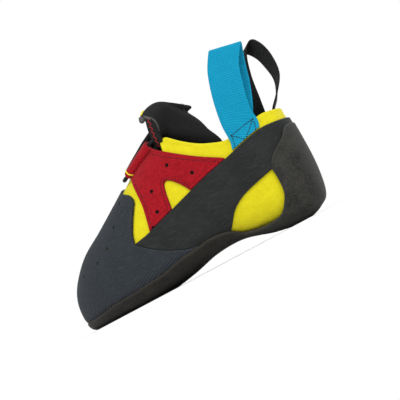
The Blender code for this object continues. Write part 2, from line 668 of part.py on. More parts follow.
def make_ring():
    """Rounded rectangular ring that follows the slope of the instep."""
    centre = RING_FRONT + RING_LENGTH / 2 - LAST_LENGTH / 2
    frames = [beside(centre + x, RING_TURN, across, RING_LIFT) for x, across in ring_path()]
    points = np.array([point for point, _ in frames])
    ahead = np.roll(points, -1, axis=0) - np.roll(points, 1, axis=0)
    loops = []
    for (point, normal), way in zip(frames, ahead):
        out = np.cross(way, normal)
        out /= np.linalg.norm(out)
        up = np.cross(out, way)
        up /= np.linalg.norm(up)
        loops.append([point + RING_WIRE / 2 * (up * sin(a) + out * cos(a)) for a in np.arange(8) * pi / 4])
    return tube_object("ring", loops)


def tube_object(name, loops):
    """A closed band whose loops of points run round a closed path."""
    bm = bmesh.new()
    rings = [[bm.verts.new(point) for point in loop] for loop in loops]
    for a, b in zip(rings, rings[1:] + rings[:1]):
        for j in range(len(a)):
            k = (j + 1) % len(a)
            bm.faces.new((a[j], a[k], b[k], b[j]))
    bmesh.ops.recalc_face_normals(bm, faces=bm.faces)
    return add_object(name, bm)


def make_keeper():
    """Suede roll that holds the outer bar of the ring; the bar runs through it."""
    start = RING_FRONT + 2 * RING_WIRE - LAST_LENGTH / 2
    hole = RING_WIRE / 2 + SLACK
    angles = np.arange(16) * pi / 8
    outer_loops, inner_loops = [], []
    for x in np.linspace(start, start + RING_LENGTH - 4 * RING_WIRE, 6):
        point, normal = beside(x, RING_TURN, -RING_SPAN, RING_LIFT)
        side = (beside(x, RING_TURN, MM - RING_SPAN, RING_LIFT)[0]
                - beside(x, RING_TURN, -MM - RING_SPAN, RING_LIFT)[0])
        side /= np.linalg.norm(side)
        outer_loops.append([point + side * KEEPER_WIDTH / 2 * cos(a) + normal * KEEPER_HEIGHT / 2 * sin(a)
                            for a in angles])
        inner_loops.append([point + (side * cos(a) + normal * sin(a)) * hole for a in angles])
    return tube_object("keeper_loop", outer_loops + inner_loops[::-1])


def collar_wall():
    """The inner form of the last as a surface that can be looked up."""
    bm = bmesh.new()
    add_form(bm, form_grid())
    bm.normal_update()
    surface = BVHTree.FromBMesh(bm)
    bm.free()
    return surface


def lay(surface, x, height, side, lift):
    """A place off the collar wall beside the foot, found by looking out from the middle."""
    hit, normal, _, _ = surface.ray_cast(Vector((x, 0.0, height)), Vector((0.0, side, 0.0)))
    return hit + normal * lift


def make_loop(name, rows, surface):
    """Webbing loop: the ends lie on the collar wall, the rows between hang free."""
    grid = []
    for row in rows:
        front = (*spot(Mark(row[0], row[2])), row[1])
        back = (*spot(Mark(row[3], row[5])), row[4])
        line = []
        for share in np.linspace(0, 1, 4):
            x, z, y = (a + (b - a) * share for a, b in zip(front, back))
            if row[6]:
                side = 1.0 if y > 0 else -1.0
                lift = row[6] * (WEBBING_GAP + WEBBING_THICK / 2) + (WALL if row[6] > 0 else 0.0)
                line.append(tuple(lay(surface, x, z, side, lift)))
            else:
                line.append((x, y * HEEL_WIDTH, z))
        grid.append(line)
    return sheet(name, finer(grid, 3), WEBBING_THICK)


def make_outsole():
    """Forefoot sole from the toe tip to behind the arch."""
    sole = rubber_layer("outsole")
    keep(sole, region("outsole"))
    return sole


def make_heel_cup():
    """Heel rubber that also runs under the arch to the sole."""
    cup = rubber_layer("heel_cup")
    keep(cup, region("heel_cup"))
    drop(cup, region("leaf_window"))
    drop(cup, grown(region("outsole"), FIT))
    return cup


def skin_layer(name):
    """Thin layer on the outside of the upper."""
    return shell(name, form_grid(SKIN_OUT), form_grid(SKIN_IN))


def make_rand():
    """Tension rand from the toe flap round the back of the heel."""
    rand = skin_layer("rand")
    keep(rand, region("rand"))
    drop(rand, region("leaf_window"))
    drop(rand, grown(region("outsole"), FIT))
    drop(rand, grown(region("heel_cup"), FIT))
    return rand


def make_toe_cap():
    """Rubber patch over the toes, between sole, rand and instep."""
    cap = skin_layer("toe_cap")
    keep(cap, region("toe_cap"))
    drop(cap, grown(region("outsole"), FIT))
    drop(cap, grown(region("rand"), FIT))
    return cap


def make_overlay(name, start, end):
    """Suede overlay of one side, with its window, down to the rand."""
    overlay = skin_layer(name)
    keep(overlay, region("red"), start, end)
    drop(overlay, region("red_window"))
    drop(overlay, grown(region("rand"), FIT))
    return overlay


def centre_on_floor(pieces):
    """Move the pieces so that their common box is centred over the origin."""
    corners = np.array([vertex.co for piece in pieces for vertex in piece.data.vertices])
    low, high = corners.min(axis=0), corners.max(axis=0)
    shift = Vector((-(low[0] + high[0]) / 2, -(low[1] + high[1]) / 2, 0.0))
    for piece in pieces:
        for vertex in piece.data.vertices:
            vertex.co += shift


def main():
    """Build the shoe."""
    for old in list(bpy.data.objects):
        bpy.data.objects.remove(old)
    wall = collar_wall()
    pieces = {
        "upper": make_upper(),
        "insole": make_insole(),
        "outsole": make_outsole(),
        "heel_cup": make_heel_cup(),
        "rand": make_rand(),
        "toe_cap": make_toe_cap(),
        "overlay_lateral": make_overlay("overlay_lateral", -FAR, 0.0),
        "overlay_medial": make_overlay("overlay_medial", 0.0, FAR),
        "tongue": make_tongue(),
        "strap": make_strap(),
        "ring": make_ring(),
        "keeper_loop": make_keeper(),
        "blue_loop": make_loop("blue_loop", BLUE_LOOP, wall),
        "black_loop": make_loop("black_loop", BLACK_LOOP, wall),
    }
    for name, piece in pieces.items():
        tidy(piece)
        paint(piece, *FINISHES[name])
    centre_on_floor(list(pieces.values()))


main()
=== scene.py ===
"""A left climbing shoe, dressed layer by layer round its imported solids.

The toe points along -X, the outer side of the foot faces -Y and the floor is z = 0. Every layer is
laid on the same last as the solids, finely enough to carry rounded edges, creases and stitches.
"""
import logging
from dataclasses import dataclass, field
from enum import Enum
from math import cos, pi, radians, sin
from typing import NamedTuple, Sequence

import bmesh
import bpy
import numpy as np
from mathutils import Matrix, Vector
from mathutils.bvhtree import BVHTree


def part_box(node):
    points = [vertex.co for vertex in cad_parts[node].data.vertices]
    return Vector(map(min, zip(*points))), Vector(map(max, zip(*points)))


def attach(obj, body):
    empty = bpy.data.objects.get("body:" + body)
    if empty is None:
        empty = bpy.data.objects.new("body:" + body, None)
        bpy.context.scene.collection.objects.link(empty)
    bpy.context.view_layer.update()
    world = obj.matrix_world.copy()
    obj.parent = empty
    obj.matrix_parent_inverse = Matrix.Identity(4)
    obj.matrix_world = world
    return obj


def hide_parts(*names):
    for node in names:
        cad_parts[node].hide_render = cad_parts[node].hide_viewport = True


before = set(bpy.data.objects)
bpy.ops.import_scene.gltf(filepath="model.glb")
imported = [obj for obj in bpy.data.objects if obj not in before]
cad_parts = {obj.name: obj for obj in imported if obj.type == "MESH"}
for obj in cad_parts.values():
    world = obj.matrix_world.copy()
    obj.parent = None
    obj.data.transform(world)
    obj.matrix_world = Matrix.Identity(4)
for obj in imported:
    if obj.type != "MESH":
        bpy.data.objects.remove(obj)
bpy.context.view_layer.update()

LOG = logging.getLogger("climbing shoe")
MM = 0.001
Array = np.ndarray


class Side(Enum):
    """A side of the foot, with the sign of its y."""

    LATERAL = -1
    MEDIAL = 1


class Section(NamedTuple):
    """One cross section of the last, as shares of its sizes.

    Station is a share of the length. Lateral and medial are the edges, as shares of a width that
    goes from the ball's to the heel's by heel. Top, spring, outer and inner are heights of the
    crown, the underside and the widest places, and arch is a share of the arch rise. Crown and
    keel are the roundness of the upper and lower half. Rubber is a share of the sole's thickness,
    and edge the roundness of its lower half.
    """

    station: float
    lateral: float
    medial: float
    heel: float
    top: float
    spring: float
    arch: float
    outer: float
    inner: float
    crown: float
    keel: float
    rubber: float
    edge: float


SECTIONS = [
    Section(0.000, 0.226, 0.226, 0.0, 0.103, 0.103, 0.00, 0.103, 0.103, 2.2, 2.6, 2.05, 3.0),
    Section(0.006, 0.060, 0.369, 0.0, 0.202, 0.029, 0.00, 0.086, 0.086, 2.2, 2.8, 1.48, 3.0),
    Section(0.027, -0.083, 0.429, 0.0, 0.267, 0.006, 0.00, 0.078, 0.078, 2.2, 3.0, 1.24, 3.2),
    Section(0.068, -0.214, 0.476, 0.0, 0.346, 0.000, 0.00, 0.078, 0.078, 2.2, 3.2, 1.17, 3.4),
    Section(0.142, -0.363, 0.500, 0.0, 0.449, 0.000, 0.00, 0.095, 0.095, 2.2, 3.2, 1.17, 3.6),
    Section(0.232, -0.458, 0.512, 0.0, 0.539, 0.000, 0.00, 0.111, 0.111, 2.1, 3.2, 1.17, 3.6),
    Section(0.335, -0.506, 0.488, 0.0, 0.654, 0.000, 0.06, 0.128, 0.136, 2.0, 3.0, 1.29, 3.4),
    Section(0.447, -0.488, 0.417, 0.0, 0.786, 0.000, 0.44, 0.160, 0.177, 1.9, 2.6, 1.12, 3.0),
    Section(0.562, -0.497, 0.401, 0.4, 0.909, 0.000, 0.94, 0.210, 0.226, 1.9, 2.3, 0.64, 2.6),
    Section(0.677, -0.518, 0.436, 0.8, 0.967, 0.000, 1.00, 0.259, 0.259, 2.0, 2.2, 0.64, 2.4),
    Section(0.788, -0.527, 0.473, 1.0, 1.000, 0.000, 0.38, 0.309, 0.309, 2.2, 2.3, 1.24, 2.4),
    Section(0.883, -0.500, 0.464, 1.0, 1.000, 0.000, 0.00, 0.325, 0.325, 2.3, 2.5, 1.17, 2.5),
    Section(0.949, -0.400, 0.391, 1.0, 0.951, 0.029, 0.00, 0.342, 0.342, 2.3, 2.4, 0.88, 2.4),
    Section(0.986, -0.255, 0.255, 1.0, 0.786, 0.128, 0.00, 0.374, 0.374, 2.2, 2.2, 1.12, 2.2),
    Section(1.000, 0.000, 0.000, 1.0, 0.407, 0.407, 0.00, 0.407, 0.407, 2.2, 2.2, -0.55, 2.2),
]

# Punched holes: place from the toe end of the last and height above the floor, in millimetres
RED_HOLES = ((145.5, 91.0), (162.0, 76.0), (124.0, 78.0), (121.5, 61.5), (113.0, 51.0))
TOE_HOLES = ((91.0, 82.0), (79.5, 67.0), (67.5, 54.5), (53.0, 47.5), (31.5, 44.0))

# Lines on the side of the shoe: share of the length, share of the height above the seat
LINES = {
    "sole edge": [
        (-0.050, 0.012), (0.000, 0.015), (0.134, 0.027), (0.208, 0.044), (0.302, 0.052),
        (0.364, 0.063), (0.426, 0.070), (0.471, 0.092), (0.516, 0.108), (0.570, 0.117),
        (0.623, 0.129), (0.681, 0.108), (0.710, 0.060), (0.747, 0.010), (0.760, -0.100),
    ],
    "rand top": [
        (0.381, 0.333), (0.447, 0.358), (0.549, 0.421), (0.636, 0.473), (0.714, 0.514),
        (0.792, 0.547), (0.879, 0.588), (0.932, 0.610), (0.973, 0.608), (1.080, 0.590),
    ],
    "flap edge": [(0.566, 0.148), (0.525, 0.158), (0.471, 0.202), (0.422, 0.267), (0.381, 0.333)],
    "patch edge": [
        (0.381, 0.333), (0.387, 0.400), (0.402, 0.470), (0.420, 0.540), (0.434, 0.598),
        (0.424, 0.643), (0.404, 0.668), (0.384, 0.700), (0.370, 0.860),
    ],
    "cup seam": [
        (1.080, 0.600), (1.015, 0.560), (0.993, 0.508), (0.972, 0.470), (0.943, 0.430),
        (0.924, 0.388), (0.913, 0.342),
    ],
    "leaf window": [
        (0.913, 0.342), (0.916, 0.267), (0.912, 0.177), (0.895, 0.111), (0.862, 0.046),
        (0.817, 0.026), (0.780, 0.026), (0.743, 0.036), (0.712, 0.058), (0.674, 0.110),
        (0.706, 0.164), (0.739, 0.226), (0.784, 0.276), (0.844, 0.309), (0.887, 0.329),
    ],
    "red edge": [
        (0.447, 0.330), (0.459, 0.490), (0.459, 0.585), (0.447, 0.738), (0.503, 0.805),
        (0.561, 0.861), (0.586, 0.819), (0.698, 0.663), (0.792, 0.547), (0.800, 0.500),
    ],
    "red window": [
        (0.549, 0.400), (0.553, 0.481), (0.556, 0.547), (0.562, 0.597), (0.574, 0.609),
        (0.591, 0.588), (0.615, 0.535), (0.640, 0.460),
    ],
    "collar edge": [
        (0.588, 0.835), (0.591, 0.850), (0.597, 0.868), (0.606, 0.881),
        (0.621, 0.884), (0.648, 0.843), (0.678, 0.794), (0.727, 0.727), (0.772, 0.684),
        (0.809, 0.658), (0.850, 0.654), (0.905, 0.675),
        (0.953, 0.695), (0.990, 0.687), (1.080, 0.670),
    ],
}

# Edge of the throat from above: share of the length, outer and inner edge by the ball width
THROAT = [
    (0.430, -0.036, -0.034), (0.436, -0.110, 0.035), (0.455, -0.140, 0.070),
    (0.520, -0.162, 0.095), (0.558, -0.195, 0.105), (0.575, -0.265, 0.110),
    (0.588, -0.308, 0.110), (0.596, -0.322, 0.110),
]

# The tongue above the throat: along, across and up of its outer edge, middle and inner edge
TONGUE_TOP = [
    (0.600, -0.175, 0.917, 0.622, -0.015, 0.915, 0.742, 0.185, 0.685),
    (0.607, -0.180, 0.960, 0.640, 0.008, 0.985, 0.725, 0.198, 0.832),
    (0.613, -0.192, 0.998, 0.646, 0.012, 1.060, 0.708, 0.224, 0.920),
    (0.612, -0.212, 1.034, 0.645, 0.008, 1.110, 0.684, 0.242, 1.008),
    (0.601, -0.232, 1.064, 0.632, 0.000, 1.142, 0.702, 0.262, 1.030),
    (0.588, -0.248, 1.086, 0.606, -0.010, 1.138, 0.670, 0.275, 1.062),
    (0.580, -0.248, 1.064, 0.590, -0.020, 1.098, 0.648, 0.280, 1.020),
]

# The leg under the hood's lip: along, across and up of its front and back edge
HOOD_LEG = [
    (0.596, -0.232, 1.080, 0.610, -0.222, 1.050), (0.593, -0.235, 1.045, 0.614, -0.225, 1.010),
    (0.588, -0.235, 1.009, 0.612, -0.225, 0.962),
    (0.583, -0.230, 0.966, 0.609, -0.220, 0.917), (0.579, -0.215, 0.924, 0.606, -0.205, 0.881),
    (0.576, -0.180, 0.882, 0.598, -0.170, 0.846),
]

# The strap on its way up: turn round the last, and how far it lies over the overlay
STRAP_UNDER = [
    (0.42, 1.0), (0.34, 1.0), (0.26, 1.0), (0.18, 1.0), (0.11, 0.9), (0.04, 0.0),
]

# The strap on its way back: turn, and how far over the overlay, its lower run and the ring's bar
STRAP_OVER = [
    (0.03, 0.0, 0.0, 1.0), (0.10, 0.2, 0.2, 0.8), (0.18, 1.0, 0.7, 0.3), (0.26, 1.0, 1.0, 0.0),
    (0.34, 1.0, 1.0, 0.0), (0.42, 1.0, 1.0, 0.0), (0.50, 1.0, 0.6, 0.0), (0.58, 1.0, 0.1, 0.0),
    (0.64, 1.0, 0.0, 0.0),
]

# Rows of a pull loop: along, across and up of its front and back edge; 1 outside the collar wall,
# -1 inside it, 0 free
BLUE_LOOP = [
    (0.828, -1.0, 0.572, 0.930, -1.0, 0.619, 1), (0.834, -1.0, 0.630, 0.934, -1.0, 0.672, 1),
    (0.838, -0.590, 0.755, 0.939, -0.475, 0.765, 0),
    (0.854, -0.600, 0.926, 0.957, -0.520, 0.910, 0),
    (0.878, -0.570, 1.090, 0.977, -0.500, 1.050, 0),
    (0.907, -0.520, 1.200, 1.010, -0.470, 1.150, 0),
    (0.912, -0.460, 1.218, 1.014, -0.420, 1.168, 0),
    (0.906, -0.400, 1.195, 1.008, -0.370, 1.145, 0),
    (0.886, -0.340, 1.080, 0.988, -0.310, 1.050, 0),
    (0.864, -0.340, 0.920, 0.967, -0.290, 0.910, 0),
    (0.842, -0.420, 0.770, 0.944, -0.350, 0.775, 0),
    (0.838, -1.0, 0.660, 0.925, -1.0, 0.690, -1), (0.832, -1.0, 0.590, 0.920, -1.0, 0.620, -1),
]
BLACK_LOOP = [
    (0.858, 1.0, 0.580, 0.930, 1.0, 0.600, -1), (0.860, 1.0, 0.680, 0.934, 1.0, 0.695, -1),
    (0.866, 0.330, 0.835, 0.944, 0.280, 0.835, 0), (0.878, 0.400, 0.983, 0.953, 0.310, 0.992, 0),
    (0.911, 0.470, 1.099, 0.977, 0.265, 1.132, 0), (0.957, 0.470, 1.160, 1.014, 0.230, 1.198, 0),
    (0.994, 0.380, 1.091, 1.045, 0.110, 1.132, 0), (1.014, 0.290, 0.984, 1.062, 0.020, 1.016, 0),
    (1.020, 0.260, 0.876, 1.058, -0.035, 0.885, 0), (1.000, 0.230, 0.770, 1.020, -0.060, 0.775, 0),
    (0.968, 0.210, 0.690, 0.982, -0.060, 0.690, 0), (0.955, 0.200, 0.600, 0.976, -0.060, 0.600, 0),
]


def blend_rows(rows: Array, places: Sequence[float]) -> Array:
    """Read a smooth curve through rows at fractional places.

    Args:
        rows: Rows of numbers with one guide row at each end.
        places: Row places counted from the first true row.
    Returns:
        One blended row for each place.
    """
    count = len(rows) - 3
    first = np.minimum(np.asarray(places).astype(int), count - 1)
    t = (np.asarray(places) - first)[:, None]
    a, b, c, d = (rows[first + step] for step in range(4))
    return 0.5 * (2 * b + (c - a) * t + (2 * a - 5 * b + 4 * c - d) * t ** 2
                  + (3 * b - a - 3 * c + d) * t ** 3)


def catmull(points: Sequence, places: Sequence[float]) -> Array:
    """Read a smooth curve through points at fractional places."""
    points = np.asarray(points, float)
    rows = np.vstack([2 * points[0] - points[1], points, 2 * points[-1] - points[-2]])
    return blend_rows(rows, places)


def finer(rows: Array, steps: int) -> Array:
    """Blend rows of points into a run with that many steps between two rows."""
    rows = np.asarray(rows, float)
    flat = rows.reshape(len(rows), -1)
    places = np.linspace(0, len(rows) - 1, steps * (len(rows) - 1) + 1)
    return catmull(flat, places).reshape(len(places), *rows.shape[1:])


def finer_sheet(rows: Sequence, along: int, across: int) -> Array:
    """Blend a sheet of points both ways, with that many steps between rows and columns."""
    return finer(finer(rows, along).swapaxes(0, 1), across).swapaxes(0, 1)


def unit(vectors: Array) -> Array:
    """Vectors brought to length one along their last axis."""
    length = np.linalg.norm(vectors, axis=-1, keepdims=True)
    return vectors / np.maximum(length, 1e-12)


def smooth_step(values: Array) -> Array:
    """An even rise from 0 to 1."""
    t = np.clip(values, 0.0, 1.0)
    return t * t * (3 - 2 * t)


@dataclass
class Last:
    """The foot form that all layers follow, with the thickness of each layer."""

    length: float = 243.0 * MM
    ball_width: float = 84.0 * MM
    heel_width: float = 55.0 * MM
    height: float = 121.5 * MM
    arch_rise: float = 8.0 * MM
    wall: float = 2.0 * MM
    fit: float = 0.3 * MM
    skin: float = 2.0 * MM
    rubber_wall: float = 2.7 * MM
    sole: float = 4.2 * MM
    slack: float = 0.4 * MM
    shifted_across: float = -0.26 * MM
    coarse_points: int = 30
    ring_steps: tuple = (12, 8, 9, 15, 18, 20, 22, 23, 23, 22, 19, 14, 11, 11)
    ring_points: int = 216

    def __post_init__(self) -> None:
        """Work out the heights that follow from the layers and the centring of the solids."""
        self.skin_in = self.wall + self.fit
        self.skin_out = self.skin_in + self.skin
        self.rubber_out = self.skin_in + self.rubber_wall
        self.seat = self.skin_in + self.sole
        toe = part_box("upper")[0].x
        self.centring = np.array([toe + self.length / 2 + self.wall, self.shifted_across, 0.0])

    def x(self, share: float) -> float:
        """Place along the shoe of a share of the length."""
        return (share - 0.5) * self.length

    def spot(self, mark: Sequence[float]) -> tuple[float, float]:
        """A mark on the side of the shoe as x and z."""
        return self.x(mark[0]), self.seat + mark[1] * self.height

    def point(self, along: float, across: float, up: float) -> tuple[float, float, float]:
        """A place from shares of the length, of the ball width and of the height."""
        x, z = self.spot((along, up))
        return x, across * self.ball_width, z

    def rows(self, growth: float = 0.0, rubber: bool = False) -> Array:
        """Cross sections as lengths.

        Args:
            growth: How far the form stands off the last.
            rubber: True for the boxier outer form of the sole and heel rubber.
        Returns:
            Rows of x, lateral, medial, bottom, top, outer, inner, crown and keel.
        """
        rows = []
        for number, row in enumerate(SECTIONS):
            width = self.ball_width * (1 - row.heel) + self.heel_width * row.heel
            bottom = self.seat + row.spring * self.height + row.arch * self.arch_rise
            top, outer, inner = (self.seat + share * self.height
                                 for share in (row.top, row.outer, row.inner))
            keel = row.keel
            end = number in (0, len(SECTIONS) - 1)
            if rubber:
                bottom -= self.skin_in + row.rubber * self.sole
                keel = row.edge
                if end:
                    top = outer = inner = bottom
            side = 0.0 if end else growth
            reach = (row.station - 0.5) * (self.length + 2 * growth)
            rows.append((reach, row.lateral * width - side, row.medial * width + side, bottom,
                         top if end else top + growth, outer, inner, row.crown, keel))
        return np.array(rows)

    @staticmethod
    def guided(rows: Array) -> Array:
        """Add a mirrored guide row at each end so that toe and heel close roundly."""
        even = np.array([True, False, False, False, False, True, True, True, True])
        before = np.where(even, rows[1], 2 * rows[0] - rows[1])
        after = np.where(even, rows[-2], 2 * rows[-1] - rows[-2])
        return np.vstack([before, rows, after])

    @staticmethod
    def loop(row: Array, count: int, start: float) -> tuple[Array, Array]:
        """Points round one cross section, evenly spaced from a starting angle.

        Args:
            row: One row of lengths.
            count: Number of points.
            start: Angle of the first point; 0 is the lateral side and pi / 2 the keel.
        Returns:
            The points, and the length walked from the first point to each.
        """
        x, lateral, medial, bottom, top, outer, inner, crown, keel = row
        middle, half = (lateral + medial) / 2, (medial - lateral) / 2
        angles = np.linspace(start, start + 2 * pi, 721)
        across, rise = np.cos(angles), -np.sin(angles)
        wide = np.where(across > 0, outer, inner)
        roundness = np.where(rise <= 0, keel, crown)
        tall = np.where(rise <= 0, wide - bottom, top - wide)
        y = middle - half * np.sign(across) * np.abs(across) ** (2 / roundness)
        z = wide + tall * np.sign(rise) * np.abs(rise) ** (2 / roundness)
        steps = np.concatenate([[0.0], np.cumsum(np.hypot(np.diff(y), np.diff(z)))])
        places = np.linspace(0.0, steps[-1], count + 1)[:-1]
        points = np.column_stack([np.full(count, x), np.interp(places, steps, y),
                                  np.interp(places, steps, z)])
        return points, places

    def grid(self, growth: float = 0.0, rubber: bool = False) -> tuple[Array, Array, Array]:
        """The last as a fine grid of rings that start under the keel.

        Args:
            growth: How far the grid stands off the last.
            rubber: True for the outer form of the sole and heel rubber.
        Returns:
            Points, unit normals, and a chart of lengths along and round the shoe.
        """
        places = np.concatenate([np.linspace(row, row + 1, steps, endpoint=False)
                                 for row, steps in enumerate(self.ring_steps)]
                                + [[len(self.ring_steps)]])
        rows = blend_rows(self.guided(self.rows(growth if rubber else 0.0, rubber)), places)
        loops = [self.loop(row, self.ring_points, pi / 2) for row in rows]
        points = np.array([loop[0] for loop in loops])
        around = np.array([loop[1] for loop in loops])
        around = around - around[:, [self.ring_points // 2]]
        normals = self.outward(points)
        chart = np.stack([points[:, :, 0], around], axis=2)
        if not rubber:
            points = points + growth * normals
        return points, normals, chart

    @staticmethod
    def outward(grid: Array) -> Array:
        """Unit normals of a grid of rings; the two poles look along the shoe."""
        along = np.gradient(grid, axis=0)
        around = np.roll(grid, -1, axis=1) - np.roll(grid, 1, axis=1)
        normal = np.cross(around, along)
        normal[0] = (-1.0, 0.0, 0.0)
        normal[-1] = (1.0, 0.0, 0.0)
        return unit(normal)

    def coarse(self, growth: float, places: Sequence[float]) -> Array:
        """Rings of the solids' own mesh at places between the first and final of a run."""
        rows = blend_rows(self.guided(self.rows()), places)
        points = np.array([self.loop(row, self.coarse_points, 0.0)[0] for row in rows])
        return points + growth * self.outward(points)

    def place(self, x: float, turn: float, lift: float) -> tuple[Array, Array]:
        """A place on the upper half of the last and its outward normal.

        Args:
            x: Place along the shoe.
            turn: -1 is the widest lateral place, 0 the crown and 1 the widest medial place.
            lift: How far the place stands off the last.
        """
        rows = self.rows()

        def at(station: float, angle: float) -> Array:
            """The last's own place at a station and turn."""
            row = [np.interp(station, rows[:, 0], rows[:, column]) for column in range(9)]
            middle, half = (row[1] + row[2]) / 2, (row[2] - row[1]) / 2
            wide = row[5] if angle < 0 else row[6]
            bend, swing = 2 / row[7], angle * pi / 2
            return np.array([station, middle + half * np.sign(swing) * abs(sin(swing)) ** bend,
                             wide + (row[4] - wide) * abs(cos(swing)) ** bend])

        step = 0.02
        normal = np.cross(at(x + 2 * MM, turn) - at(x - 2 * MM, turn),
                          at(x, turn + step) - at(x, turn - step))
        normal /= np.linalg.norm(normal)
        return at(x, turn) + lift * normal, normal

    def beside(self, x: float, turn: float, across: float, lift: float) -> tuple[Array, Array]:
        """A place off the last, moved across it, and its normal.

        Args:
            x: Place along the shoe.
            turn: Where the move starts.
            across: Length of the move.
            lift: How far the place stands off the last.
        """
        step = 0.01
        for _ in range(2):
            double = np.linalg.norm(self.place(x, turn + step, 0.0)[0]
                                    - self.place(x, turn - step, 0.0)[0])
            turn += across * step / double
        return self.place(x, turn, lift)


LAST = Last()


LINE_STEPS = 8


def line(name: str, part: slice = slice(None)) -> Array:
    """A smooth line through the marks of a named line, as x and z."""
    spots = [LAST.spot(mark) for mark in LINES[name][part]]
    return finer(np.array(spots), LINE_STEPS)


def region(name: str) -> Array:
    """Closed outline of a piece on the side of the shoe.

    Args:
        name: Name of the piece or opening.
    Returns:
        Its corners as x and z.
    """
    far = 3 * LAST.length
    low, high, left, right = -far, far, -far, far

    def end(key: str, number: int) -> tuple[float, float]:
        """One mark of a named line as x and z."""
        return LAST.spot(LINES[key][number])

    if name == "outsole":
        parts = [line("sole edge"), [(end("sole edge", -1)[0], low), (left, low),
                                     (left, end("sole edge", 0)[1])]]
    elif name == "heel_cup":
        front = end("leaf window", 9)
        parts = [line("cup seam"), [front, (front[0], low), (right, low),
                                    (right, end("cup seam", 0)[1])]]
    elif name == "rand":
        parts = [line("rand top"), [(right, end("rand top", -1)[1]), (right, low),
                                    (end("flap edge", 0)[0], low)], line("flap edge")[:-1]]
    elif name == "toe_cap":
        parts = [line("flap edge"), line("patch edge")[1:],
                 [(end("patch edge", -1)[0], high), (left, high), (left, low),
                  (end("flap edge", 0)[0], low)]]
    elif name == "leaf window":
        closing = LINES["leaf window"][9:] + LINES["leaf window"][:1]
        parts = [line("leaf window", slice(0, 10)),
                 finer(np.array([LAST.spot(mark) for mark in closing]), LINE_STEPS)[1:-1]]
    elif name == "collar":
        parts = [line("collar edge"), [(right, end("collar edge", -1)[1]), (right, high),
                                       (end("collar edge", 0)[0], high)]]
    elif name == "red":
        parts = [line("red edge", slice(0, 4)), line("red edge", slice(3, 6))[1:],
                 line("red edge", slice(5, None))[1:]]
    else:
        parts = [line("red window")]
    return np.vstack([np.asarray(part, float) for part in parts])


def distance_to(spots: Array, outline: Array, closed: bool = True) -> Array:
    """Distance of flat spots from an outline, negative inside a closed one.

    Args:
        spots: Flat places, one a row.
        outline: Corners of the outline.
        closed: False for an open line, whose distances are all positive.
    """
    start = outline if closed else outline[:-1]
    stop = np.roll(outline, -1, axis=0) if closed else outline[1:]
    best = np.full(len(spots), np.inf)
    inside = np.zeros(len(spots), bool)
    for a, b in zip(start, stop):
        way = b - a
        size = way @ way
        if size < 1e-16:
            continue
        t = np.clip(((spots - a) @ way) / size, 0.0, 1.0)
        gap = spots - a - t[:, None] * way
        best = np.minimum(best, np.einsum("ij,ij->i", gap, gap))
        crosses = (a[1] > spots[:, 1]) != (b[1] > spots[:, 1])
        if crosses.any():
            reach = a[0] + (spots[:, 1] - a[1]) * way[0] / (way[1] if way[1] else 1e-12)
            inside ^= crosses & (spots[:, 0] < reach)
    best = np.sqrt(best)
    return np.where(inside, -best, best) if closed else best


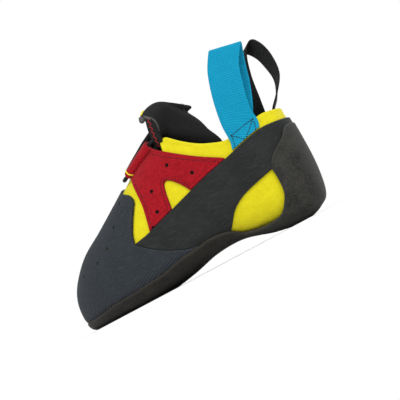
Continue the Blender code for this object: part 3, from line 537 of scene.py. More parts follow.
@dataclass
class Patch:
    """A piece of surface: points, normals, chart lengths, named values and triangles."""

    points: Array
    normals: Array
    chart: Array
    triangles: Array
    values: dict = field(default_factory=dict)

    @classmethod
    def whole(cls, growth: float = 0.0, rubber: bool = False) -> "Patch":
        """The whole form, with one vertex at the toe pole and one at the heel pole."""
        points, normals, chart = LAST.grid(growth, rubber)
        rings, count = points.shape[:2]
        index = np.arange(rings * count).reshape(rings, count)
        index[0] = index[0, 0]
        index[-1] = index[-1, 0]
        a, b = index[:-1], index[1:]
        a_next, b_next = np.roll(a, -1, axis=1), np.roll(b, -1, axis=1)
        triangles = np.concatenate([np.stack([a, b_next, b], axis=2).reshape(-1, 3),
                                    np.stack([a, a_next, b_next], axis=2).reshape(-1, 3)])
        good = ((triangles[:, 0] != triangles[:, 1]) & (triangles[:, 1] != triangles[:, 2])
                & (triangles[:, 0] != triangles[:, 2]))
        return cls(points.reshape(-1, 3), normals.reshape(-1, 3), chart.reshape(-1, 2),
                   triangles[good]).packed()

    def packed(self) -> "Patch":
        """Drop the vertices that no triangle uses."""
        used, flat = np.unique(self.triangles, return_inverse=True)
        self.triangles = flat.reshape(-1, 3)
        self.points, self.normals = self.points[used], self.normals[used]
        self.chart = self.chart[used]
        self.values = {key: value[used] for key, value in self.values.items()}
        return self

    def split(self, level: Array) -> Array:
        """Put vertices where a value crosses zero and cut the triangles there.

        Args:
            level: One value for each vertex.
        Returns:
            The value for all vertices after the cut.
        """
        level = np.where(np.abs(level) < 1e-9, 1e-9, level)
        above = level > 0
        sides = above[self.triangles]
        count = sides.sum(axis=1)
        mixed = (count == 1) | (count == 2)
        triangles = self.triangles[mixed]
        if not len(triangles):
            return level
        sides = sides[mixed]
        lone = np.where(sides.sum(axis=1) == 1, np.argmax(sides, axis=1), np.argmin(sides, axis=1))
        turn = (lone[:, None] + np.arange(3)) % 3
        triangles = np.take_along_axis(triangles, turn, axis=1)
        edges = np.sort(np.concatenate([triangles[:, [0, 1]], triangles[:, [0, 2]]]), axis=1)
        single, where = np.unique(edges, axis=0, return_inverse=True)
        where = where.reshape(-1) + len(self.points)
        share = (level[single[:, 0]] / (level[single[:, 0]] - level[single[:, 1]]))[:, None]
        low, high = single[:, 0], single[:, 1]

        def mixed_in(data: Array) -> Array:
            """The data with rows for the new vertices."""
            weight = share if data.ndim == 2 else share[:, 0]
            return np.concatenate([data, data[low] * (1 - weight) + data[high] * weight])

        self.points, self.chart = mixed_in(self.points), mixed_in(self.chart)
        self.normals = unit(mixed_in(self.normals))
        self.values = {key: mixed_in(value) for key, value in self.values.items()}
        level = mixed_in(level)
        level[len(level) - len(single):] = 0.0
        first, second = where[:len(triangles)], where[len(triangles):]
        a, b, c = triangles.T
        self.triangles = np.concatenate([
            self.triangles[~mixed], np.column_stack([a, first, second]),
            np.column_stack([first, b, c]), np.column_stack([first, c, second])])
        return level

    def refine(self, near: Array) -> None:
        """Halve the edges of every triangle that has a marked vertex.

        Args:
            near: True for each marked vertex.
        """
        total = len(self.points)
        corners = self.triangles
        ends = np.sort(np.stack([corners, np.roll(corners, -1, axis=1)], axis=2), axis=2)
        key = ends[..., 0] * total + ends[..., 1]
        halved = np.unique(key[near[corners].any(axis=1)])
        place = np.clip(np.searchsorted(halved, key), 0, len(halved) - 1)
        hit = halved[place] == key
        middle = place + total
        low, high = halved // total, halved % total

        def joined(data: Array) -> Array:
            """The data with rows for the halved edges."""
            return np.concatenate([data, (data[low] + data[high]) / 2])

        self.points, self.chart = joined(self.points), joined(self.chart)
        self.normals = unit(joined(self.normals))
        self.values = {name: joined(value) for name, value in self.values.items()}
        count = hit.sum(axis=1)
        made = [corners[count == 0]]
        a, b, c = corners[count == 3].T
        ab, bc, ca = middle[count == 3].T
        made += [np.column_stack(trio) for trio in
                 ((a, ab, ca), (ab, b, bc), (ca, bc, c), (ab, bc, ca))]
        for wanted in (1, 2):
            some = count == wanted
            first = (np.argmax(hit[some], axis=1) if wanted == 1
                     else (np.argmin(hit[some], axis=1) + 1) % 3)
            turn = (first[:, None] + np.arange(3)) % 3
            a, b, c = np.take_along_axis(corners[some], turn, axis=1).T
            ab, bc, _ = np.take_along_axis(middle[some], turn, axis=1).T
            if wanted == 1:
                made += [np.column_stack([a, ab, c]), np.column_stack([ab, b, c])]
            else:
                made += [np.column_stack([a, ab, c]), np.column_stack([ab, bc, c]),
                         np.column_stack([ab, b, bc])]
        self.triangles = np.concatenate(made)

    def nearest(self, x: float, z: float, side: Side) -> int:
        """The vertex that shows at a spot of the side view, on one side of the shoe."""
        gap = np.hypot(self.points[:, 0] - x, self.points[:, 2] - z)
        gap = np.where(self.normals[:, 1] * side.value > 0, gap, np.inf)
        return int(np.argmin(gap))

    def trim(self, level: Array) -> None:
        """Keep the part where a value is below zero."""
        level = self.split(level)
        self.values["depth"] = -level
        keep = (level[self.triangles] <= 0).all(axis=1) & (level[self.triangles] < 0).any(axis=1)
        self.triangles = self.triangles[keep]
        self.packed()

    def side(self) -> Array:
        """The vertices as x and z."""
        return self.points[:, [0, 2]]


def add_mesh(name: str, points: Array, faces: Sequence, chart: Array | None = None,
             values: dict | None = None, crease: float = 50.0) -> bpy.types.Object:
    """Make a smooth shaded object at the origin from points and faces.

    Args:
        name: Name of the object.
        points: Vertices before the centring of the solids.
        faces: Triangles as an array, or polygons as a list.
        chart: Flat coordinates in metres, one for each vertex.
        values: Named numbers, one for each vertex.
        crease: Angle in degrees past which an edge stays sharp.
    """
    mesh = bpy.data.meshes.new(name)
    mesh.from_pydata((points + LAST.centring).tolist(), [], np.asarray(faces).tolist()
                     if isinstance(faces, np.ndarray) else faces)
    mesh.update()
    corners = np.zeros(len(mesh.loops), int)
    mesh.loops.foreach_get("vertex_index", corners)
    if chart is not None:
        layer = mesh.uv_layers.new(name="chart")
        layer.data.foreach_set("uv", chart[corners].astype(np.float32).ravel())
    for key, value in (values or {}).items():
        attribute = mesh.attributes.new(key, "FLOAT", "POINT")
        attribute.data.foreach_set("value", value.astype(np.float32))
    mesh.shade_smooth()
    mesh.set_sharp_from_angle(angle=radians(crease))
    made = bpy.data.objects.new(name, mesh)
    bpy.context.scene.collection.objects.link(made)
    return made


def closed_layer(name: str, patch: Patch, outer: Array, inner: Array) -> bpy.types.Object:
    """Join an outer and an inner face of a patch with walls along its edges.

    Args:
        name: Name of the object.
        patch: The patch, with its depth from the edge.
        outer: Its vertices on the outer face.
        inner: Its vertices on the inner face.
    Returns:
        The closed piece.
    """
    count = len(patch.points)
    triangles = patch.triangles
    halves = np.concatenate([triangles[:, [0, 1]], triangles[:, [1, 2]], triangles[:, [2, 0]]])
    key = np.sort(halves, axis=1)
    _, first, number = np.unique(key, axis=0, return_index=True, return_counts=True)
    rim = halves[first[number == 1]]
    walls = np.concatenate([np.column_stack([rim[:, 1], rim[:, 0], rim[:, 0] + count]),
                            np.column_stack([rim[:, 1], rim[:, 0] + count, rim[:, 1] + count])])
    faces = np.concatenate([triangles, triangles[:, ::-1] + count, walls])
    depth = patch.values["depth"]
    # Inner faces are marked 1, for the darker colour painted on them as shade
    values = {"depth": np.concatenate([depth, depth]),
              "lining": np.concatenate([np.zeros(count), np.ones(count)])}
    return add_mesh(name, np.concatenate([outer, inner]), faces,
                    np.concatenate([patch.chart, patch.chart]), values)


def edge_rise(depth: Array, radius: float, lip: float) -> Array:
    """Share of the thickness at a depth from the edge: a quarter round above a lip."""
    t = np.clip(depth / radius, 0.0, 1.0)
    return lip + (1 - lip) * np.sqrt(np.clip(1 - (1 - t) ** 2, 0.0, 1.0))


def ripple(points: Array, size: float, height: float, seed: float = 0.0) -> Array:
    """A gentle unevenness of hand-lasted material, from a few crossed waves."""
    x, y, z = (points / size).T
    waves = (np.sin(1.7 * x + 2.3 * z + seed) + np.sin(2.9 * y - 1.3 * x + 1.9 * seed)
             + np.sin(3.1 * z + 1.1 * y + 0.7 * seed))
    return height * waves / 3


def ribbon(name: str, grid: Array, thickness: float | Array, rim: int = 3) -> bpy.types.Object:
    """A closed ribbon with round edges about a grid of middle points.

    Args:
        name: Name of the object.
        grid: Rows of middle points across the ribbon.
        thickness: Full thickness, one for all or one for each row.
        rim: Steps round each long edge.
    """
    grid = np.asarray(grid, float)
    along, across = np.gradient(grid, axis=0), np.gradient(grid, axis=1)
    normal = unit(np.cross(along, across))
    half = np.broadcast_to(np.asarray(thickness, float) / 2, (len(grid),))
    middle, half = half[:, None, None], half[:, None]
    swings = np.linspace(0, pi, rim + 2)[1:-1]
    over = unit(across[:, -1])
    back = -unit(across[:, 0])
    loops = [grid + normal * middle]
    loops += [(grid[:, -1] + half * (normal[:, -1] * cos(s) + over * sin(s)))[:, None]
              for s in swings]
    loops += [(grid - normal * middle)[:, ::-1]]
    loops += [(grid[:, 0] + half * (-normal[:, 0] * cos(s) + back * sin(s)))[:, None]
              for s in swings]
    rings = np.concatenate(loops, axis=1)
    rows, count = rings.shape[:2]
    widths = np.linalg.norm(np.diff(grid, axis=1), axis=2)
    lengths = np.linalg.norm(np.diff(grid.mean(axis=1), axis=0), axis=1)
    u = np.concatenate([np.zeros((rows, 1)), np.cumsum(widths, axis=1)], axis=1)
    u -= u[:, -1:] / 2
    u = np.concatenate([u, np.repeat(u[:, -1:], rim, 1), u[:, ::-1], np.repeat(u[:, :1], rim, 1)],
                       axis=1)
    v = np.repeat(np.concatenate([[0.0], np.cumsum(lengths)])[:, None], count, axis=1)
    edge = u.max(axis=1, keepdims=True) - np.abs(u)
    index = np.arange(rows * count).reshape(rows, count)
    a, b = index[:-1], index[1:]
    quads = np.stack([a, np.roll(a, -1, axis=1), np.roll(b, -1, axis=1), b], axis=2)
    faces = quads.reshape(-1, 4).tolist() + [index[0][::-1].tolist(), index[-1].tolist()]
    made = add_mesh(name, rings.reshape(-1, 3), faces, np.stack([u, v], axis=2).reshape(-1, 2),
                    {"depth": edge.ravel()}, crease=60.0)
    outward_faces(made)
    return made


@dataclass
class Band:
    """The middle surface of a ribbon, walked on by length and by share of its width."""

    grid: Array
    thick: float

    def length(self) -> float:
        """Length along the middle of the ribbon."""
        middle = self.grid[:, self.grid.shape[1] // 2]
        return float(np.linalg.norm(np.diff(middle, axis=0), axis=1).sum())

    def at(self, along: float, across: float, over: float) -> tuple[Array, Array]:
        """A place on the ribbon and the normal there.

        Args:
            along: Length walked from the first row.
            across: Share of the width, 0 to 1.
            over: 1 for the face that the normal leaves, -1 for the other, 0 for the middle.
        Returns:
            The place, and the normal that points out of that face.
        """
        rows, columns = self.grid.shape[:2]
        middle = self.grid[:, columns // 2]
        walked = np.concatenate([[0.0], np.cumsum(np.linalg.norm(np.diff(middle, axis=0), axis=1))])
        normal = unit(np.cross(np.gradient(self.grid, axis=0), np.gradient(self.grid, axis=1)))
        row = float(np.interp(along, walked, np.arange(rows)))
        column = across * (columns - 1)
        i, j = min(int(row), rows - 2), min(int(column), columns - 2)
        s, t = row - i, column - j

        def read(data: Array) -> Array:
            """The data between the four nearest points."""
            low = data[i, j] * (1 - t) + data[i, j + 1] * t
            return low * (1 - s) + (data[i + 1, j] * (1 - t) + data[i + 1, j + 1] * t) * s

        out = unit(read(normal))
        return read(self.grid) + over * out * self.thick / 2, out * (over or 1.0)

    def path(self, spots: Sequence, over: float, steps: int) -> tuple[Array, Array]:
        """Places and normals along a run.

        Args:
            spots: Corners of the run: length along and share across.
            over: Which face, as for one place.
            steps: Steps between two corners.
        """
        spots = np.asarray(spots, float)
        walk = [spots[:1]] + [a + (b - a) * np.linspace(0, 1, steps + 1)[1:, None]
                              for a, b in zip(spots, spots[1:])]
        frames = [self.at(along, across, over) for along, across in np.concatenate(walk)]
        return np.array([point for point, _ in frames]), np.array([out for _, out in frames])

    def both(self, spots: Sequence, steps: int) -> list[tuple[Array, Array]]:
        """The same run on each face of the ribbon."""
        return [self.path(spots, over, steps) for over in (1.0, -1.0)]


@dataclass
class Face:
    """The outside of a finished piece as seen from one side."""

    tree: BVHTree
    side: Side

    @classmethod
    def of(cls, thing: bpy.types.Object, side: Side) -> "Face":
        """Look at a piece from a side."""
        mesh = thing.data
        return cls(BVHTree.FromPolygons([vertex.co for vertex in mesh.vertices],
                                        [polygon.vertices for polygon in mesh.polygons]), side)

    def path(self, spots: Array) -> tuple[Array, Array]:
        """Places and normals on the piece for a line of x and z; spots beside it are left out."""
        points, normals = [], []
        for x, z in spots:
            start = Vector((x, self.side.value * LAST.ball_width, z)) + Vector(LAST.centring)
            hit, normal, _, _ = self.tree.ray_cast(start, Vector((0.0, -self.side.value, 0.0)))
            if hit is None or hit.y * self.side.value < 0:
                continue
            points.append(np.array(hit) - LAST.centring)
            normals.append(np.array(normal))
        return np.array(points).reshape(-1, 3), np.array(normals).reshape(-1, 3)


def beside_line(spots: Array, gap: float) -> Array:
    """A flat line moved to its left by a gap."""
    way = unit(np.gradient(spots, axis=0))
    return spots + gap * np.column_stack([-way[:, 1], way[:, 0]])


def tube(name: str, loops: Array, closed: bool) -> bpy.types.Object:
    """A tube through loops of points.

    Args:
        name: Name of the object.
        loops: Loops of points, one after another.
        closed: True for a tube that closes on itself, False for a capped one.
    """
    rings, count = loops.shape[:2]
    index = np.arange(rings * count).reshape(rings, count)
    following = np.roll(index, -1, axis=0) if closed else index[1:]
    start = index if closed else index[:-1]
    quads = np.stack([start, np.roll(start, -1, axis=1), np.roll(following, -1, axis=1),
                      following], axis=2).reshape(-1, 4).tolist()
    if not closed:
        quads += [index[0][::-1].tolist(), index[-1].tolist()]
    lengths = np.linalg.norm(np.diff(loops.mean(axis=1), axis=0), axis=1)
    v = np.repeat(np.concatenate([[0.0], np.cumsum(lengths)])[:, None], count, axis=1)
    turn = np.linalg.norm(np.diff(loops, axis=1), axis=2).mean(axis=0)
    u = np.tile(np.concatenate([[0.0], np.cumsum(turn)]), (rings, 1))
    made = add_mesh(name, loops.reshape(-1, 3), quads, np.stack([u, v], axis=2).reshape(-1, 2))
    outward_faces(made)
    return made


def outward_faces(thing: bpy.types.Object) -> None:
    """Turn all faces of a closed piece outwards."""
    bm = bmesh.new()
    bm.from_mesh(thing.data)
    bmesh.ops.recalc_face_normals(bm, faces=bm.faces)
    bm.to_mesh(thing.data)
    bm.free()


class Tree:
    """A material's node tree with short ways to add nodes."""

    def __init__(self, name: str, colour: tuple, roughness: float) -> None:
        """Start a material with a principled shader of one colour and roughness."""
        self.material = bpy.data.materials.new(name)
        self.material.use_nodes = True
        self.nodes = self.material.node_tree.nodes
        self.links = self.material.node_tree.links
        self.shader = self.nodes["Principled BSDF"]
        self.set("Base Color", (*colour, 1.0))
        self.set("Roughness", roughness)
        self.place = self.nodes.new("ShaderNodeTexCoord").outputs["Object"]
        self.height = None

    def set(self, socket: str, value: object) -> None:
        """Set a socket of the shader."""
        self.shader.inputs[socket].default_value = value

    def link(self, source: object, target: object) -> None:
        """Join two sockets."""
        self.links.new(source, target)

    def noise(self, scale: float, detail: float = 3.0, rough: float = 0.6,
              vector: object = None) -> object:
        """Fine noise.

        Args:
            scale: Cells to a metre.
            detail: Number of finer layers.
            rough: Strength of the finer layers.
            vector: Where it is read, if not at the object's own place.
        """
        node = self.nodes.new("ShaderNodeTexNoise")
        node.inputs["Scale"].default_value = scale
        node.inputs["Detail"].default_value = detail
        node.inputs["Roughness"].default_value = rough
        self.link(vector or self.place, node.inputs["Vector"])
        return node.outputs["Fac"]

    def stretched(self, scale: tuple, turn: tuple) -> object:
        """Object place with another scale and turn for each axis."""
        node = self.nodes.new("ShaderNodeMapping")
        node.inputs["Scale"].default_value = scale
        node.inputs["Rotation"].default_value = turn
        self.link(self.place, node.inputs["Vector"])
        return node.outputs["Vector"]

    def chart(self) -> object:
        """The piece's own flat lengths."""
        node = self.nodes.new("ShaderNodeUVMap")
        node.uv_map = "chart"
        return node.outputs["UV"]

    def number(self, name: str) -> object:
        """A number stored on the piece."""
        node = self.nodes.new("ShaderNodeAttribute")
        node.attribute_name = name
        return node.outputs["Fac"]

    def maths(self, operation: str, a: object, b: object = None, c: object = None) -> object:
        """A Math node on sockets or numbers."""
        node = self.nodes.new("ShaderNodeMath")
        node.operation = operation
        for socket, value in zip(node.inputs, (a, b, c)):
            if value is None:
                continue
            if isinstance(value, (int, float)):
                socket.default_value = value
            else:
                self.link(value, socket)
        return node.outputs["Value"]

    def span(self, value: object, low: float, high: float, start: float = 0.0,
             stop: float = 1.0) -> object:
        """Bring a value from the span low to high to the span start to stop, clamped."""
        node = self.nodes.new("ShaderNodeMapRange")
        for name, number in (("From Min", low), ("From Max", high), ("To Min", start),
                             ("To Max", stop)):
            node.inputs[name].default_value = number
        self.link(value, node.inputs["Value"])
        return node.outputs["Result"]

    def mix(self, share: object, first: object, second: object) -> object:
        """Blend two colours."""
        node = self.nodes.new("ShaderNodeMix")
        node.data_type = "RGBA"
        for socket, value in ((node.inputs[6], first), (node.inputs[7], second)):
            if isinstance(value, tuple):
                socket.default_value = (*value, 1.0)
            else:
                self.link(value, socket)
        self.link(share, node.inputs[0])
        return node.outputs[2]

    def parts(self, vector: object) -> object:
        """The x, y and z of a vector."""
        node = self.nodes.new("ShaderNodeSeparateXYZ")
        self.link(vector, node.inputs[0])
        return node.outputs

    def colour(self, value: object) -> None:
        """Link the base colour."""
        self.link(value, self.shader.inputs["Base Color"])

    def roughness(self, value: object) -> None:
        """Link the roughness."""
        self.link(value, self.shader.inputs["Roughness"])

    def bump(self, value: object, depth: float) -> None:
        """Add a bump of a depth in metres over the bumps already there."""
        node = self.nodes.new("ShaderNodeBump")
        node.inputs["Strength"].default_value = 1.0
        node.inputs["Distance"].default_value = depth
        self.link(value, node.inputs["Height"])
        if self.height is not None:
            self.link(self.height, node.inputs["Normal"])
        self.height = node.outputs["Normal"]
        self.link(self.height, self.shader.inputs["Normal"])


@dataclass(frozen=True)
class Suede:
    """Brushed suede or microfibre with a short nap."""

    name: str
    colour: tuple
    dark: tuple
    light: tuple
    specks: tuple
    lining: tuple | None = None
    nap: float = 0.10 * MM
    hem: float = 0.0
    mottling: float = 0.12

    def material(self) -> bpy.types.Material:
        """The finish as a material."""
        tree = Tree(self.name, self.colour, 0.92)
        cloud = tree.noise(140.0, 4.0, 0.65)
        grain = tree.noise(1500.0, 3.0, 0.7)
        fleck = tree.noise(620.0, 3.0, 0.75)
        base = tree.mix(tree.span(cloud, 0.35, 0.65), self.dark, self.colour)
        base = tree.mix(tree.span(fleck, 0.50, 0.34, 0.0, self.mottling), base, self.specks)
        base = tree.mix(tree.span(fleck, 0.52, 0.70, 0.0, self.mottling), base, self.light)
        base = tree.mix(tree.span(grain, 0.52, 0.74), base, self.light)
        base = tree.mix(tree.span(tree.noise(2300.0, 1.0), 0.70, 0.78, 0.0, 0.75), base, self.specks)
        if self.hem:
            edge = tree.span(tree.number("depth"), 0.0, self.hem, 0.55, 0.0)
            base = tree.mix(edge, base, self.specks)
        # On the inner face a darker colour is painted in as the shade inside the shoe
        if self.lining:
            base = tree.mix(tree.number("lining"), base, self.lining)
        tree.colour(base)
        tree.bump(cloud, 0.15 * MM)
        tree.bump(fleck, self.nap * 0.8)
        tree.bump(grain, self.nap)
        tree.set("Sheen Weight", 0.10)
        tree.set("Sheen Roughness", 0.45)
        tree.set("Specular IOR Level", 0.15)
        return tree.material


@dataclass(frozen=True)
class Rubber:
    """Matt climbing rubber with brushed marks, dust and lighter edges."""

    name: str
    colour: tuple
    dust: tuple
    roughness: float = 0.62
    ribs: float = 0.0
    brushed: float = 0.5
    speckle: float = 0.2
    worn: float = 1.1 * MM

    def material(self) -> bpy.types.Material:
        """The finish as a material."""
        tree = Tree(self.name, self.colour, self.roughness)
        cloud = tree.noise(60.0, 5.0, 0.6)
        grain = tree.noise(2600.0, 3.0, 0.7)
        strokes = tree.noise(1.0, 4.0, 0.65, tree.stretched((90.0, 900.0, 900.0), (0.0, 0.15, 0.0)))
        dusty = tree.maths("MULTIPLY", tree.span(cloud, 0.42, 0.75), self.brushed)
        base = tree.mix(dusty, self.colour, self.dust)
        base = tree.mix(tree.span(strokes, 0.50, 0.72, 0.0, 0.75), base, self.dust)
        speckles = tree.noise(780.0, 3.0, 0.75)
        base = tree.mix(tree.span(speckles, 0.50, 0.68, 0.0, self.speckle), base, self.dust)
        edge = tree.span(tree.number("depth"), 0.0, self.worn, 0.7, 0.0)
        base = tree.mix(edge, base, self.dust)
        tree.roughness(tree.span(cloud, 0.3, 0.7, self.roughness - 0.06, self.roughness + 0.10))
        tree.bump(strokes, 0.08 * MM)
        tree.bump(grain, 0.05 * MM)
        if self.ribs:
            around = tree.parts(tree.chart())[1]
            wave = tree.maths("SINE", tree.maths("MULTIPLY", around, 2 * pi / self.ribs))
            wobble = tree.span(strokes, 0.2, 0.8, 0.4, 1.0)
            ridge = tree.maths("MULTIPLY", wave, wobble)
            base = tree.mix(tree.span(ridge, -0.2, 1.0, 0.0, 0.6), base, self.dust)
            tree.bump(ridge, 0.22 * MM)
        tree.colour(base)
        tree.set("Specular IOR Level", 0.22)
        return tree.material


@dataclass(frozen=True)
class Weave:
    """Woven webbing or strap with a twill rib."""

    name: str
    colour: tuple
    dark: tuple
    light: tuple
    rib: float = 1.25 * MM
    slant: float = 1.0
    roughness: float = 0.75
    relief: float = 0.18 * MM

    def material(self) -> bpy.types.Material:
        """The finish as a material."""
        tree = Tree(self.name, self.colour, self.roughness)
        u, v = tree.parts(tree.chart())[:2]
        tilted = tree.maths("MULTIPLY_ADD", u, self.slant, v)
        wave = tree.maths("SINE", tree.maths("MULTIPLY", tilted, 2 * pi / self.rib))
        threads = tree.maths("SINE", tree.maths("MULTIPLY", u, 2 * pi / (self.rib * 0.55)))
        height = tree.maths("MULTIPLY_ADD", threads, 0.35, wave)
        cloud = tree.noise(180.0, 3.0)
        base = tree.mix(tree.span(height, -1.1, 1.1), self.dark, self.colour)
        base = tree.mix(tree.span(cloud, 0.45, 0.75, 0.0, 0.15), base, self.light)
        tree.colour(base)
        tree.bump(height, self.relief)
        tree.bump(tree.noise(3800.0, 2.0), 0.05 * MM)
        tree.set("Specular IOR Level", 0.2)
        return tree.material


@dataclass(frozen=True)
class Knit:
    """Soft stretch fabric with a fine grain."""

    name: str
    colour: tuple
    light: tuple
    roughness: float = 0.9

    def material(self) -> bpy.types.Material:
        """The finish as a material."""
        tree = Tree(self.name, self.colour, self.roughness)
        grain = tree.noise(1900.0, 3.0, 0.7)
        tree.colour(tree.mix(tree.span(grain, 0.45, 0.85), self.colour, self.light))
        tree.bump(tree.noise(260.0, 3.0), 0.25 * MM)
        tree.bump(grain, 0.12 * MM)
        tree.set("Specular IOR Level", 0.2)
        return tree.material


@dataclass(frozen=True)
class Satin:
    """Smooth satin plastic, enamel or thread."""

    name: str
    colour: tuple
    roughness: float = 0.35
    grain: float = 900.0
    specular: float = 0.4

    def material(self) -> bpy.types.Material:
        """The finish as a material."""
        tree = Tree(self.name, self.colour, self.roughness)
        noise = tree.noise(self.grain, 2.0)
        tree.roughness(tree.span(noise, 0.3, 0.7, self.roughness - 0.05, self.roughness + 0.10))
        tree.bump(noise, 0.02 * MM)
        tree.set("Specular IOR Level", self.specular)
        return tree.material


@dataclass(frozen=True)
class Paper:
    """Plain pale paper."""

    name: str = "pale paper"
    colour: tuple = (0.88, 0.88, 0.88)

    def material(self) -> bpy.types.Material:
        """The finish as a material."""
        tree = Tree(self.name, self.colour, 0.9)
        tree.set("Specular IOR Level", 0.1)
        return tree.material


PAPER = Paper()
# Its inner face is painted a darker, duller yellow: painted shade inside the shoe
YELLOW_SUEDE = Suede("yellow microfibre", (0.76, 0.67, 0.012), (0.69, 0.60, 0.008),
                     (0.82, 0.74, 0.03), (0.34, 0.30, 0.01), lining=(0.30, 0.27, 0.04))
RED_SUEDE = Suede("red suede", (0.36, 0.004, 0.012), (0.29, 0.002, 0.008), (0.45, 0.015, 0.022),
                  (0.09, 0.001, 0.004), nap=0.22 * MM, hem=0.8 * MM, mottling=0.45)
TOE_RUBBER = Rubber("ribbed toe rubber", (0.016, 0.021, 0.027), (0.043, 0.051, 0.060), 0.66,
                    ribs=1.9 * MM, brushed=0.35)
RAND_RUBBER = Rubber("rand rubber", (0.009, 0.010, 0.010), (0.030, 0.032, 0.032), 0.58)
HEEL_RUBBER = Rubber("heel rubber", (0.012, 0.012, 0.011), (0.048, 0.047, 0.041), 0.58,
                     brushed=0.75, speckle=0.7)
SOLE_RUBBER = Rubber("sole rubber", (0.008, 0.0075, 0.0065), (0.040, 0.035, 0.028), 0.58,
                     brushed=0.55, speckle=0.6, worn=2.6 * MM)
BLUE_WEBBING = Weave("blue webbing", (0.0, 0.38, 0.61), (0.0, 0.22, 0.40), (0.01, 0.48, 0.70),
                     rib=1.5 * MM, slant=0.7, relief=0.14 * MM)
BLACK_WEBBING = Weave("black webbing", (0.010, 0.010, 0.010), (0.007, 0.007, 0.007),
                      (0.03, 0.03, 0.03), rib=0.9 * MM, slant=0.0, relief=0.07 * MM)
STRAP_CLOTH = Weave("black strap", (0.012, 0.012, 0.011), (0.005, 0.005, 0.005),
                    (0.035, 0.034, 0.033), rib=0.8 * MM, slant=0.4, roughness=0.85)
TONGUE_KNIT = Knit("black tongue knit", (0.010, 0.010, 0.010), (0.034, 0.033, 0.032))
FELT_BOARD = Knit("felt board", (0.045, 0.042, 0.038), (0.10, 0.095, 0.09))
RING_ENAMEL = Satin("black enamel", (0.006, 0.006, 0.007), 0.42, specular=0.2)
RED_THREAD = Satin("red thread", (0.36, 0.006, 0.012), 0.6)
DARK_RED_THREAD = Satin("dark red thread", (0.050, 0.001, 0.003), 0.7)
BLACK_THREAD = Satin("black thread", (0.008, 0.008, 0.010), 0.55)
YELLOW_THREAD = Satin("yellow cord", (0.82, 0.70, 0.02), 0.55)
GREY_THREAD = Satin("grey thread", (0.045, 0.045, 0.045), 0.6)
GREY_BINDING = Satin("grey binding", (0.090, 0.088, 0.085), 0.75)
# Painted shade in the punched holes: a black disc under each hole of the red overlays
HOLE_SHADE_FINISH = Satin("punched hole", (0.006, 0.006, 0.005), 0.8)
# Painted shade and glints in the toe holes: a dark yellow disc that paints the yellow upper seen in
# shade
TOE_HOLE_SHADE_FINISH = Satin("punched toe hole", (0.11, 0.09, 0.02), 0.8)


@dataclass(frozen=True)
class Stitch:
    """A kind of stitch: its thread, spacing and size, and its lean each way in a zigzag."""

    thread: Satin
    spacing: float
    length: float
    thickness: float
    slant: float = 0.0
    unevenness: float = 0.08


HEM_STITCH = Stitch(DARK_RED_THREAD, 2.7 * MM, 1.8 * MM, 0.85 * MM)
PATCH_STITCH = Stitch(BLACK_THREAD, 1.5 * MM, 1.5 * MM, 1.1 * MM)
HOOD_STITCH = Stitch(GREY_THREAD, 2.4 * MM, 1.8 * MM, 0.5 * MM)
HOOD_BINDING = Stitch(GREY_BINDING, 0.8 * MM, 2.0 * MM, 3.2 * MM)
HOOD_LIP = Stitch(GREY_BINDING, 0.8 * MM, 3.0 * MM, 5.4 * MM)
HOOD_TAB = Stitch(YELLOW_THREAD, 0.8 * MM, 2.0 * MM, 2.0 * MM)
LEG_ZIGZAG = Stitch(RED_THREAD, 2.0 * MM, 3.4 * MM, 0.8 * MM, slant=0.8)
STRAP_BOX = Stitch(RED_THREAD, 2.2 * MM, 1.7 * MM, 0.5 * MM)
STRAP_ZIGZAG = Stitch(RED_THREAD, 1.8 * MM, 3.2 * MM, 0.55 * MM, slant=0.9)
PIPING_CORD = Stitch(YELLOW_THREAD, 0.55 * MM, 1.5 * MM, 1.3 * MM)
LOOP_BOX = Stitch(BLACK_THREAD, 2.0 * MM, 1.75 * MM, 0.8 * MM)


@dataclass
class Piece:
    """A finished piece with its slot and the solid that it stands for."""

    thing: bpy.types.Object
    slot: str
    node: str | None = None

    def dress(self, finish: object) -> None:
        """Give the piece its material and body, and hide the solid that it stands for."""
        materials = self.thing.data.materials
        materials.clear()
        known = bpy.data.materials.get(finish.name)
        materials.append(known or finish.material())
        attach(self.thing, "root")
        if self.node:
            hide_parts(self.node)
        LOG.info("piece %s with %d faces", self.thing.name, len(self.thing.data.polygons))


class Repeat(Enum):
    """What a Geometry Nodes tree sets out."""

    STITCH = "stitches along a run"
    CUP = "cups at places"


